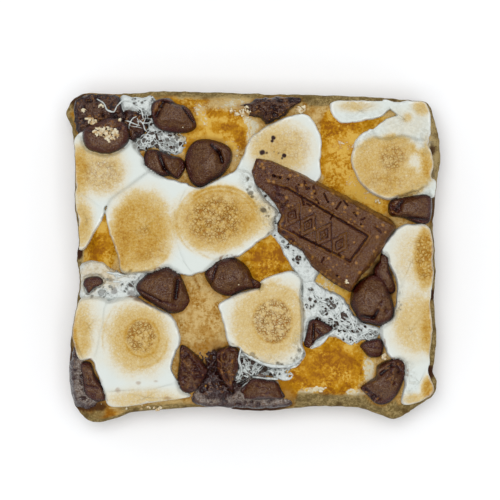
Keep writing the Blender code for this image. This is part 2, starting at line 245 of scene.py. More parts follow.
@dataclass(frozen=True)
class Bubble:
    """A burst bubble or a fleck: its middle, its radius and how dark its bottom is painted, as shade and as
    what lies below.
    """

    x: float
    y: float
    radius: float
    dark: float = 0.8


class Loop:
    """A closed outline round a middle, as a distance in each direction."""

    def __init__(self, points: Outline, middle: Pair, steps: int = 8, curved: bool = True) -> None:
        """Measures the outline.

        Args:
            points: Corners in order round the outline.
            middle: Place from which every corner can be seen.
            steps: Points between two corners.
            curved: Whether the outline runs smoothly through its corners.
        """
        self.middle = middle
        corners = np.array(points, float)
        before, after, beyond = (np.roll(corners, shift, axis=0) for shift in (1, -1, -2))
        curve = []
        for share in np.arange(steps) / steps:
            if curved:
                weights = (
                    -share + 2 * share**2 - share**3,
                    2 - 5 * share**2 + 3 * share**3,
                    share + 4 * share**2 - 3 * share**3,
                    -(share**2) + share**3,
                )
                parts = (before, corners, after, beyond)
                curve.append(0.5 * sum(w * part for w, part in zip(weights, parts)))
            else:
                curve.append(corners + share * (after - corners))
        self.curve = np.stack(curve, axis=1).reshape(-1, 2)
        offset = self.curve - np.array(middle)
        angles = np.arctan2(offset[:, 1], offset[:, 0])
        order = np.argsort(angles)
        self.angles = angles[order]
        self.radii = np.hypot(offset[:, 0], offset[:, 1])[order]

    def radius(self, angle: Field) -> Field:
        """Distance from the middle to the outline in each direction."""
        return np.interp(angle, self.angles, self.radii, period=2 * math.pi)

    def inside(self, x: Field, y: Field) -> Field:
        """How far inside the outline places lie, along the line from its middle."""
        across, along = x - self.middle[0], y - self.middle[1]
        return self.radius(np.arctan2(along, across)) - np.hypot(across, along)

    def widest(self) -> float:
        """The largest distance from the middle to the outline."""
        return float(self.radii.max())

    def spread(self, extra: Callable[[Field], Field]) -> None:
        """Moves the outline out by an amount that depends on direction."""
        self.radii = self.radii + extra(self.angles)

    def roughen(self, coarse: float, fine: float) -> None:
        """Makes the outline ragged.

        Args:
            coarse: How far it wanders from one millimetre and a half to the next.
            fine: How far it wanders from half a millimetre to the next.
        """
        x = self.middle[0] + self.radii * np.cos(self.angles)
        y = self.middle[1] + self.radii * np.sin(self.angles)
        ragged = coarse * grain(x, y, 0.0, 1.5, 91) + fine * grain(x, y, 0.0, 0.6, 92)
        self.radii = self.radii + ragged


def add_object(name: str, data: bpy.types.ID) -> bpy.types.Object:
    """Puts a mesh, a lamp or a camera into the scene."""
    obj = bpy.data.objects.new(name, data)
    bpy.context.scene.collection.objects.link(obj)
    return obj


def shaped_object(name: str, shape: bmesh.types.BMesh) -> bpy.types.Object:
    """Makes an object of a shape, which is freed."""
    mesh = bpy.data.meshes.new(name)
    shape.to_mesh(mesh)
    shape.free()
    return add_object(name, mesh)


def mesh_object(
    name: str, corners: Field, quads: Field, triangles: Field, fields: dict[str, Field]
) -> bpy.types.Object:
    """Makes an object from arrays.

    Args:
        name: The object's name.
        corners: Places in millimetres, three to a row.
        quads: Corner numbers, four to a row.
        triangles: Corner numbers, three to a row.
        fields: Values for each corner, stored as named attributes.

    Returns:
        The object, smooth shaded and linked into the scene.
    """
    mesh = bpy.data.meshes.new(name)
    mesh.vertices.add(len(corners))
    mesh.vertices.foreach_set("co", (corners * MM).astype(np.float32).ravel())
    loops = np.concatenate([quads.ravel(), triangles.ravel()])
    mesh.loops.add(len(loops))
    mesh.loops.foreach_set("vertex_index", loops.astype(np.int32))
    mesh.polygons.add(len(quads) + len(triangles))
    starts = np.concatenate(
        [np.arange(len(quads)) * 4, quads.size + np.arange(len(triangles)) * 3]
    )
    mesh.polygons.foreach_set("loop_start", starts.astype(np.int32))
    mesh.update(calc_edges=True)
    mesh.validate()
    for title, values in fields.items():
        layer = mesh.attributes.new(title, "FLOAT", "POINT")
        layer.data.foreach_set("value", np.asarray(values, np.float32))
    mesh.shade_smooth()
    return add_object(name, mesh)


@dataclass
class Mound:
    """A piece that stands on a closed outline: a skin in rings, a side wall and a flat foot.

    Attributes:
        name: The object's name.
        loop: The outline.
        height: Height of the skin at places across and along.
        fields: Values for the attributes at places across, along and up.
        foot: Height of the underside.
        step: Distance between rings.
        tuck: How far the side wall leans in at the foot.
        bulge: How far the side wall swells halfway down.
        wall_rings: Rows of the side wall.
    """

    name: str
    loop: Loop
    height: Callable[[Field, Field], Field]
    fields: Callable[[Field, Field, Field], dict[str, Field]]
    foot: float
    step: float = 0.235
    tuck: float = 0.4
    bulge: float = 0.15
    wall_rings: int = 7

    def build(self, hold: Hold | None = None) -> bpy.types.Object:
        """Makes the mesh.

        Args:
            hold: Moves places that would lie off the bar back onto it.

        Returns:
            The object.
        """
        rings = max(8, round(self.loop.widest() / self.step))
        sides = max(32, round(2 * math.pi * self.loop.widest() / (self.step * 1.6)))
        angle = np.arange(sides) * 2 * math.pi / sides
        reach = self.loop.radius(angle)
        shares = 1.0 - np.arange(rings) / rings
        x = self.loop.middle[0] + np.outer(shares, reach * np.cos(angle))
        y = self.loop.middle[1] + np.outer(shares, reach * np.sin(angle))
        if hold:
            x, y = hold(x, y)
        z = self.height(x, y)
        down = (np.arange(self.wall_rings) + 1.0) / self.wall_rings
        out = self.bulge * np.sin(math.pi * down) - self.tuck * down
        wall_x = x[0] + np.outer(out, np.cos(angle))
        wall_y = y[0] + np.outer(out, np.sin(angle))
        if hold:
            wall_x, wall_y = hold(wall_x, wall_y)
        wall_z = z[0] + np.outer(down, self.foot - z[0])
        middle_x, middle_y = np.array([self.loop.middle[0]]), np.array([self.loop.middle[1]])
        grid_x = np.concatenate([wall_x[::-1].ravel(), x.ravel(), middle_x, middle_x])
        grid_y = np.concatenate([wall_y[::-1].ravel(), y.ravel(), middle_y, middle_y])
        crown = self.height(middle_x, middle_y)
        grid_z = np.concatenate([wall_z[::-1].ravel(), z.ravel(), crown, [self.foot]])
        rows = self.wall_rings + rings
        count = rows * sides
        cell = np.arange(count - sides).reshape(rows - 1, sides)
        after = np.roll(cell, -1, axis=1)
        quads = np.stack([cell, after, after + sides, cell + sides], axis=-1).reshape(-1, 4)
        last = np.arange(count - sides, count)
        top = np.stack([last, np.roll(last, -1), np.full(sides, count)], axis=-1)
        first = np.arange(sides)
        under = np.stack([np.roll(first, -1), first, np.full(sides, count + 1)], axis=-1)
        corners = np.stack([grid_x, grid_y, grid_z], axis=-1)
        return mesh_object(
            self.name,
            corners,
            quads,
            np.concatenate([top, under]),
            self.fields(grid_x, grid_y, grid_z),
        )


class Signal:
    """A shader socket that takes part in sums like a number."""

    def __init__(self, tree: FinishTree, socket: bpy.types.NodeSocket) -> None:
        """Holds an output socket of a tree's node."""
        self.tree = tree
        self.socket = socket

    def _sum(self, operation: str, first: Term, second: Term) -> Signal:
        """Result of a Math node for an operation and two values."""
        return self.tree.node("ShaderNodeMath", {"operation": operation}, {0: first, 1: second})

    def __add__(self, other: Term) -> Signal:
        """Sum."""
        return self._sum("ADD", self, other)

    __radd__ = __add__

    def __sub__(self, other: Term) -> Signal:
        """Difference."""
        return self._sum("SUBTRACT", self, other)

    def __rsub__(self, other: Term) -> Signal:
        """Difference from a number."""
        return self._sum("SUBTRACT", other, self)

    def __mul__(self, other: Term) -> Signal:
        """Product."""
        return self._sum("MULTIPLY", self, other)

    def most(self, other: Term) -> Signal:
        """The larger of two."""
        return self._sum("MAXIMUM", self, other)

    def step(self, low: float, high: float) -> Signal:
        """Soft step from 0 at low to 1 at high, or the other way round if low is above high.

        Args:
            low: Value that gives 0.
            high: Value that gives 1.

        Returns:
            The stepped signal.
        """
        if low > high:
            return 1.0 - self.step(high, low)
        return self.tree.node(
            "ShaderNodeMapRange",
            {"interpolation_type": "SMOOTHSTEP"},
            {"Value": self, "From Min": low, "From Max": high},
        )


Term = Signal | float
Value = Signal | float | Colour


class FinishTree:
    """A material's nodes, with a Principled shader at their end."""

    def __init__(self, name: str) -> None:
        """Makes the material with an empty tree."""
        self.material = bpy.data.materials.new(name)
        self.material.use_nodes = True
        self.nodes = self.material.node_tree.nodes
        self.nodes.clear()
        self.shader = self.nodes.new("ShaderNodeBsdfPrincipled")
        output = self.nodes.new("ShaderNodeOutputMaterial")
        self.material.node_tree.links.new(self.shader.outputs[0], output.inputs[0])

    def feed(self, node: bpy.types.Node, inputs: dict[str | int, Value]) -> None:
        """Sets or links a node's sockets.

        Args:
            node: The node.
            inputs: Value or signal for each socket, by name or number.
        """
        for key, value in inputs.items():
            socket = node.inputs[key]
            if isinstance(value, Signal):
                self.material.node_tree.links.new(value.socket, socket)
            elif isinstance(value, tuple) and socket.type == "RGBA":
                socket.default_value = (*value, 1.0)
            else:
                socket.default_value = value

    def node(
        self,
        kind: str,
        settings: dict[str, object],
        inputs: dict[str | int, Value],
        output: str | int = 0,
    ) -> Signal:
        """Adds one node.

        Args:
            kind: The node's type.
            settings: Its properties, or its stops where it is a ramp.
            inputs: Values or signals for its sockets.
            output: Which of its outputs is wanted.

        Returns:
            That output.
        """
        made = self.nodes.new(kind)
        for key, value in settings.items():
            if key == "stops":
                self.set_stops(made, value)
            else:
                setattr(made, key, value)
        self.feed(made, inputs)
        return Signal(self, made.outputs[output])

    @staticmethod
    def set_stops(ramp: bpy.types.Node, stops: tuple[tuple[float, Colour], ...]) -> None:
        """Gives a ramp its stops.

        Args:
            ramp: The ramp's node.
            stops: Place and colour of each.
        """
        elements = ramp.color_ramp.elements
        while len(elements) < len(stops):
            elements.new(1.0)
        for element, (place, colour) in zip(elements, stops):
            element.position = place
            element.color = (*colour, 1.0)

    def places(self) -> Signal:
        """Places on the object, in metres."""
        return self.node("ShaderNodeTexCoord", {}, {}, "Object")

    def worn(self, name: str) -> Signal:
        """One of the mesh's own fields."""
        return self.node("ShaderNodeAttribute", {"attribute_name": name}, {}, "Fac")

    def noise(self, size: float, detail: float = 2.0, roughness: float = 0.5) -> Signal:
        """Noise around one half.

        Args:
            size: Size of its features in millimetres.
            detail: How many finer layers it has.
            roughness: How strong those are.

        Returns:
            The noise.
        """
        inputs = {
            "Vector": self.places(),
            "Scale": 1.0 / (size * MM),
            "Detail": detail,
            "Roughness": roughness,
        }
        return self.node("ShaderNodeTexNoise", {}, inputs)

    def bent_places(self, size: float, amount: float) -> Signal:
        """Places moved about by noise.

        Args:
            size: Size of the noise in millimetres.
            amount: How far it moves them, in millimetres.

        Returns:
            The places.
        """
        noise = self.node(
            "ShaderNodeTexNoise", {}, {"Vector": self.places(), "Scale": 1.0 / (size * MM)}, 1
        )
        inputs = {0: noise, 1: (amount * MM,) * 3, 2: self.places()}
        return self.node("ShaderNodeVectorMath", {"operation": "MULTIPLY_ADD"}, inputs)

    def cracks(self, size: float, bend: float = 0.6) -> Signal:
        """Distance to the borders of uneven cells.

        Args:
            size: Size of a cell in millimetres.
            bend: How far the borders wander, as a share of that size.

        Returns:
            The distance as a share of the size.
        """
        places = self.bent_places(size * 0.9, bend * size)
        inputs = {"Vector": places, "Scale": 1.0 / (size * MM)}
        return self.node("ShaderNodeTexVoronoi", {"feature": "DISTANCE_TO_EDGE"}, inputs)

    def mix(self, factor: Term, low: Value, high: Value) -> Signal:
        """Colour between two: the first where the factor is 0, the second where it is 1."""
        return self.node("ShaderNodeMix", {"data_type": "RGBA"}, {0: factor, 6: low, 7: high}, 2)

    def ramp(self, signal: Signal, stops: tuple[tuple[float, Colour], ...]) -> Signal:
        """Colour along a ramp."""
        return self.node("ShaderNodeValToRGB", {"stops": stops}, {0: signal})

    def bump(self, height: Signal, distance: float, strength: float = 1.0) -> Signal:
        """Normal bent by a height, where 0 and 1 lie so many millimetres apart."""
        inputs = {"Height": height, "Distance": distance * MM, "Strength": strength}
        return self.node("ShaderNodeBump", {}, inputs)

    def finish(self, **inputs: Value) -> bpy.types.Material:
        """Feeds the shader, by socket name with _ for each space, and gives the material."""
        self.feed(self.shader, {key.replace("_", " "): value for key, value in inputs.items()})
        return self.material


# Studio light that falls on a flat top, and the haze that its reflection adds there.
LIGHT_ON_TOP = 1.32
SHEEN = 0.012


def seen(red: int, green: int, blue: int, sheen: float = SHEEN) -> Colour:
    """Surface colour that looks like a screen colour on top of the bar, less its own sheen."""
    linear = srgb(red, green, blue)
    return tuple(min(0.9, max(0.002, channel - sheen) / LIGHT_ON_TOP) for channel in linear)


@dataclass(frozen=True)
class MarshmallowFinish:
    """Marshmallow skin, from raw white through cream and tan to brown, crackled where it rose, with painted
    light near its rim, painted highlights on its crackle domes and painted shade in its hollows and streaks.
    """

    stops: tuple[tuple[float, Colour], ...] = (
        (0.0, seen(218, 224, 219)),
        (0.18, seen(220, 217, 200)),
        (0.38, seen(212, 190, 138, 0.02)),
        (0.62, seen(199, 164, 90, 0.02)),
        (0.82, seen(185, 140, 54, 0.02)),
        (1.0, seen(140, 90, 18, 0.02)),
    )
    crack: Colour = seen(162, 110, 12, 0.04)
    blister_and_highlight: Colour = seen(226, 198, 138)
    burnt: Colour = seen(50, 28, 10)
    stained: Colour = seen(140, 92, 40)
    hollow: Colour = seen(104, 92, 74)
    streak_shade: Colour = seen(184, 176, 150)
    painted_rim_light: Colour = (0.84, 0.85, 0.82)
    cell: float = 0.8

    def make(self) -> bpy.types.Material:
        """Builds the material."""
        tree = FinishTree("marshmallow_finish")
        toast, crackle = tree.worn("toast"), tree.worn("crackle")
        blotch = tree.noise(2.4, 2.0) - 0.5
        speckle = tree.noise(0.5, 4.0, 0.75) - 0.5
        browned = toast + toast * (blotch * 0.6 + speckle * 1.5)
        skin = tree.ramp(browned, self.stops)
        # Painted shade: greyish streaks along the grooves of the stringy web.
        streak = tree.worn("web") * tree.noise(0.8, 4.0, 0.7).step(0.46, 0.62)
        skin = tree.mix(streak * 0.32, skin, self.streak_shade)
        wide, narrow = tree.cracks(self.cell, 0.7), tree.cracks(self.cell * 0.6, 0.8)
        patchy = tree.noise(1.6, 4.0, 0.7).step(0.36, 0.58)
        lines = wide.step(0.13, 0.02).most(narrow.step(0.1, 0.0) * 0.7) * crackle * patchy
        # The paler domes of the crackle are partly the blistered skin's own colour and partly a painted
        # highlight on each dome.
        domes = wide.step(0.1, 0.34) * crackle
        skin = tree.mix(domes * 0.6, skin, self.blister_and_highlight)
        skin = tree.mix(lines, skin, self.crack)
        veins = tree.cracks(0.9, 1.3).step(0.08, 0.0) * toast * 0.6
        skin = tree.mix(veins, skin, self.crack)
        # Painted light: the rim field lightens the skin near its outline, standing in for light showing
        # through the marshmallow's steep sides.
        skin = tree.mix(tree.worn("rim") * 0.6, skin, self.painted_rim_light)
        skin = tree.mix(tree.worn("stain"), skin, self.stained)
        # Painted shade in the hollows of the burst bubbles.
        skin = tree.mix(tree.worn("pit"), skin, self.hollow)
        skin = tree.mix(tree.worn("char"), skin, self.burnt)
        fine = tree.noise(0.45, 3.0) * (toast * 1.2 + 0.2)
        relief = fine + domes * 0.7 - lines - streak * 0.8
        return tree.finish(
            Base_Color=skin,
            Roughness=0.6 - toast * 0.1,
            Normal=tree.bump(relief, 0.12, 0.9),
            Specular_IOR_Level=0.14,
        )


@dataclass(frozen=True)
class DoughFinish:
    """Baked dough: beige crumb, amber where sugar ran over it, and a dull crust at the edge."""

    cream: Colour = seen(218, 210, 182)
    crumb_pale: Colour = seen(212, 182, 124)
    crumb: Colour = seen(188, 149, 84)
    crumb_dark: Colour = seen(158, 106, 34)
    amber_pale: Colour = seen(216, 176, 90, 0.03)
    amber: Colour = seen(192, 138, 34, 0.03)
    amber_dark: Colour = seen(152, 100, 4, 0.03)
    crust: Colour = seen(122, 103, 63)
    crust_pale: Colour = seen(174, 152, 104)
    crust_dark: Colour = seen(76, 54, 24)
    side: Colour = seen(148, 118, 68)
    side_pale: Colour = seen(190, 160, 108)
    chocolate: Colour = seen(72, 48, 36)

    def make(self) -> bpy.types.Material:
        """Builds the material."""
        tree = FinishTree("dough_finish")
        amber, brown, pale = tree.worn("amber"), tree.worn("brown"), tree.worn("pale")
        cloud = tree.noise(2.6, 6.0, 0.65)
        sand = tree.noise(0.6, 4.0, 0.7)
        gritty = (sand - 0.5) * (tree.noise(4.0, 2.0).step(0.4, 0.64) * 2.6 + 1.2)
        blend = (cloud - 0.5) * 3.0 + gritty + 0.3 + brown * 0.55 - pale * 0.45
        plain = tree.ramp(
            blend, ((0.0, self.crumb_pale), (0.45, self.crumb), (1.0, self.crumb_dark))
        )
        sugar = tree.ramp(
            blend, ((0.0, self.amber_pale), (0.42, self.amber), (1.0, self.amber_dark))
        )
        top = tree.mix((amber + (cloud - 0.5) * 1.2).step(0.25, 0.75), plain, sugar)
        creamy = (pale + (sand - 0.5) * 1.6 + (cloud - 0.5) * 1.2).step(0.75, 1.05)
        top = tree.mix(creamy, top, self.cream)
        edge = tree.mix((sand + pale * 0.12).step(0.42, 0.6), self.crust, self.crust_pale)
        side = tree.worn("side")
        edge = tree.mix(side, edge, tree.mix(sand.step(0.38, 0.6), self.side, self.side_pale))
        spots = (cloud + (sand - 0.5) * 0.6).step(0.5, 0.66) * (0.75 - side * 0.5)
        edge = tree.mix(spots, edge, self.crust_dark)
        top = tree.mix(tree.worn("crust"), top, edge)
        # A real stain round the chocolate, and painted shade along the crack.
        top = tree.mix(tree.worn("stain"), top, self.crumb_dark)
        top = tree.mix(tree.worn("smear"), top, self.chocolate)
        crumbly = sand * (1.0 - amber * 0.55)
        return tree.finish(
            Base_Color=top,
            Roughness=0.75 - amber * 0.3,
            Normal=tree.bump(crumbly, 0.36, 1.0),
            Specular_IOR_Level=0.06,
        )


@dataclass(frozen=True)
class ChocolateFinish:
    """Milk chocolate with a dull sheen, painted shade towards its rim and in its creases, and amber flecks.
    """

    name: str
    light: Colour = seen(107, 79, 57, 0.025)
    mid: Colour = seen(86, 58, 38, 0.025)
    # Colours of the painted shade, which the shade field lays on.
    warm: Colour = seen(74, 44, 22, 0.02)
    dark: Colour = seen(40, 20, 8, 0.01)
    fleck: Colour = seen(158, 106, 40)
    roughness: float = 0.28
    gloss: float = 0.36

    def make(self) -> bpy.types.Material:
        """Builds the material."""
        tree = FinishTree(self.name)
        cloud = tree.noise(1.6, 3.0, 0.6)
        fine = tree.noise(0.4, 3.0, 0.65)
        body = tree.mix((cloud + (fine - 0.5) * 1.5).step(0.25, 0.75), self.mid, self.light)
        # Painted shade: warm dark brown, then nearly black, where the shade field rises.
        shade = tree.worn("shade")
        body = tree.mix(shade.step(0.0, 0.6), body, self.warm)
        body = tree.mix(shade.step(0.5, 1.0), body, self.dark)
        specks = (fine * 0.6 + tree.noise(0.22, 1.0) * 0.4).step(0.6, 0.7)
        body = tree.mix(specks * 0.3, body, self.fleck)
        body = tree.mix(tree.worn("fleck"), body, self.fleck)
        relief = fine * 0.35 + cloud
        return tree.finish(
            Base_Color=body,
            Roughness=self.roughness + (fine - 0.5) * 0.4,
            Normal=tree.bump(relief, 0.5, 1.0),
            Specular_IOR_Level=self.gloss,
        )


@dataclass(frozen=True)
class FoamFinish:
    """Melted marshmallow: a white web over hollows, with painted shade in the hollows and along the web's
    streaks, and brown in the deepest, partly what lies below and partly painted shade.
    """

    web: Colour = seen(218, 224, 221)
    warm: Colour = seen(208, 184, 134)
    painted_shade_grey: Colour = seen(124, 126, 122)
    brown: Colour = seen(66, 46, 34)

    def make(self) -> bpy.types.Material:
        """Builds the material."""
        tree = FinishTree("foam_finish")
        toast, pit, deep = tree.worn("toast"), tree.worn("pit"), tree.worn("deep")
        streak = tree.noise(0.9, 4.0, 0.65)
        body = tree.mix((toast + (streak - 0.5) * 0.7).step(0.15, 0.75), self.web, self.warm)
        # Painted shade: grey along the web's streaks and in the hollows of the burst bubbles.
        body = tree.mix(streak.step(0.47, 0.64) * (0.36 - toast * 0.26), body, self.painted_shade_grey)
        body = tree.mix(pit.step(0.0, 0.7) * 0.9, body, self.painted_shade_grey)
        # The deepest hollows turn brown, partly what lies below showing through and partly painted shade.
        # The stain near the chocolate is a real stain.
        body = tree.mix((deep + (streak - 0.5) * 0.5).step(0.15, 0.6), body, self.brown)
        body = tree.mix(tree.worn("stain") * 0.8, body, self.brown)
        return tree.finish(
            Base_Color=body,
            Roughness=0.4,
            Normal=tree.bump(streak + tree.noise(0.4, 3.0), 0.3, 0.9),
            Specular_IOR_Level=0.4,
        )


@dataclass(frozen=True)
class CrumbFinish:
    """Loose golden crumbs."""

    pale: Colour = seen(228, 217, 188)
    deep: Colour = seen(190, 157, 105)

    def make(self) -> bpy.types.Material:
        """Builds the material."""
        tree = FinishTree("crumb_finish")
        body = tree.mix(tree.noise(0.8, 2.0).step(0.4, 0.65), self.pale, self.deep)
        return tree.finish(
            Base_Color=body, Roughness=0.75, Normal=tree.bump(tree.noise(0.2, 2.0), 0.1)
        )


class SlotName(Enum):
    """The record's material slots."""

    DOUGH = "baked_dough"
    MARSHMALLOW = "toasted_marshmallow"
    FOAM = "melted_marshmallow"
    CHOCOLATE = "milk_chocolate"


def place_piece(
    obj: bpy.types.Object, finish: bpy.types.Material, slot: SlotName, *nodes: str
) -> None:
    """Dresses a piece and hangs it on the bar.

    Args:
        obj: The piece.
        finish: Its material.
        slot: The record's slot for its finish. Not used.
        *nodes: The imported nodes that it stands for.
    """
    obj.data.materials.append(finish)
    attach(obj, "root")
    if nodes:
        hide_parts(*nodes)
    LOG.info("%s: %d faces", obj.name, len(obj.data.polygons))


SLAB_OUTLINE: Outline = (
    (40.7, -1.3), (40.2, 5.3), (40.5, 11.3), (40.9, 15.8), (41.8, 21.3), (41.6, 25.8),
    (40.5, 30.6), (38.9, 34.0), (34.0, 34.7), (26.2, 35.3), (12.9, 35.7), (-0.4, 36.0),
    (-13.8, 36.4), (-20.4, 36.5), (-29.3, 36.0), (-36.0, 36.2), (-39.5, 35.1), (-41.3, 31.7),
    (-40.0, 28.2), (-39.3, 21.3), (-39.3, 11.3), (-38.3, 3.6), (-38.9, 0.0), (-38.2, -4.9),
    (-38.9, -10.7), (-40.0, -17.5), (-40.6, -26.6), (-39.7, -32.0), (-37.3, -35.8), (-34.4, -37.0),
    (-29.7, -35.9), (-24.9, -34.5), (-8.2, -33.4), (-2.7, -34.2), (5.1, -34.2), (14.0, -33.4),
    (22.9, -33.6), (28.0, -35.1), (31.7, -36.2), (34.6, -34.9), (37.4, -32.9), (40.5, -30.9),
    (41.1, -28.0), (40.2, -25.3), (40.9, -19.8), (40.5, -9.8),
)
BAR_EDGE = Loop(SLAB_OUTLINE, (0.0, 0.0))
BAR_EDGE.roughen(0.12, 0.12)


def held(inset: float) -> Hold:
    """A rule that keeps places on the bar.

    Args:
        inset: How far inside the bar's edge they stay.

    Returns:
        The rule, which moves places towards the bar's middle where it has to.
    """

    def hold(x: Field, y: Field) -> tuple[Field, Field]:
        limit = BAR_EDGE.radius(np.arctan2(y, x)) - inset
        share = np.minimum(1.0, limit / np.maximum(np.hypot(x, y), 1e-6))
        return x * share, y * share

    return hold


@dataclass
class Puff:
    """One marshmallow or patch of melted marshmallow in the white sheet.

    Attributes:
        node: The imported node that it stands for.
        middle: A place from which its whole outline can be seen.
        outline: Its outline, closed.
        top: Height of its crown.
        shoulder: Width over which its rim curves down.
        foamy: Whether it is melted and full of bubbles.
        low: Height of its rim.
    """

    node: str
    middle: Pair
    outline: Outline
    top: float = 25.4
    shoulder: float = 0.6
    foamy: bool = False
    low: float = 20.6
    loop: Loop = field(init=False)

    def __post_init__(self) -> None:
        """Measures the outline and makes it ragged where the piece has melted."""
        self.loop = Loop(self.outline, self.middle)
        self.loop.roughen(*((0.35, 0.22) if self.foamy else (0.12, 0.1)))

    def crown(self, inside: Field) -> Field:
        """Height of the puff's skin behind its shoulder, at distances inside its outline."""
        return self.top + 0.7 * np.clip(inside / self.loop.widest(), 0.0, 1.0) - 0.35


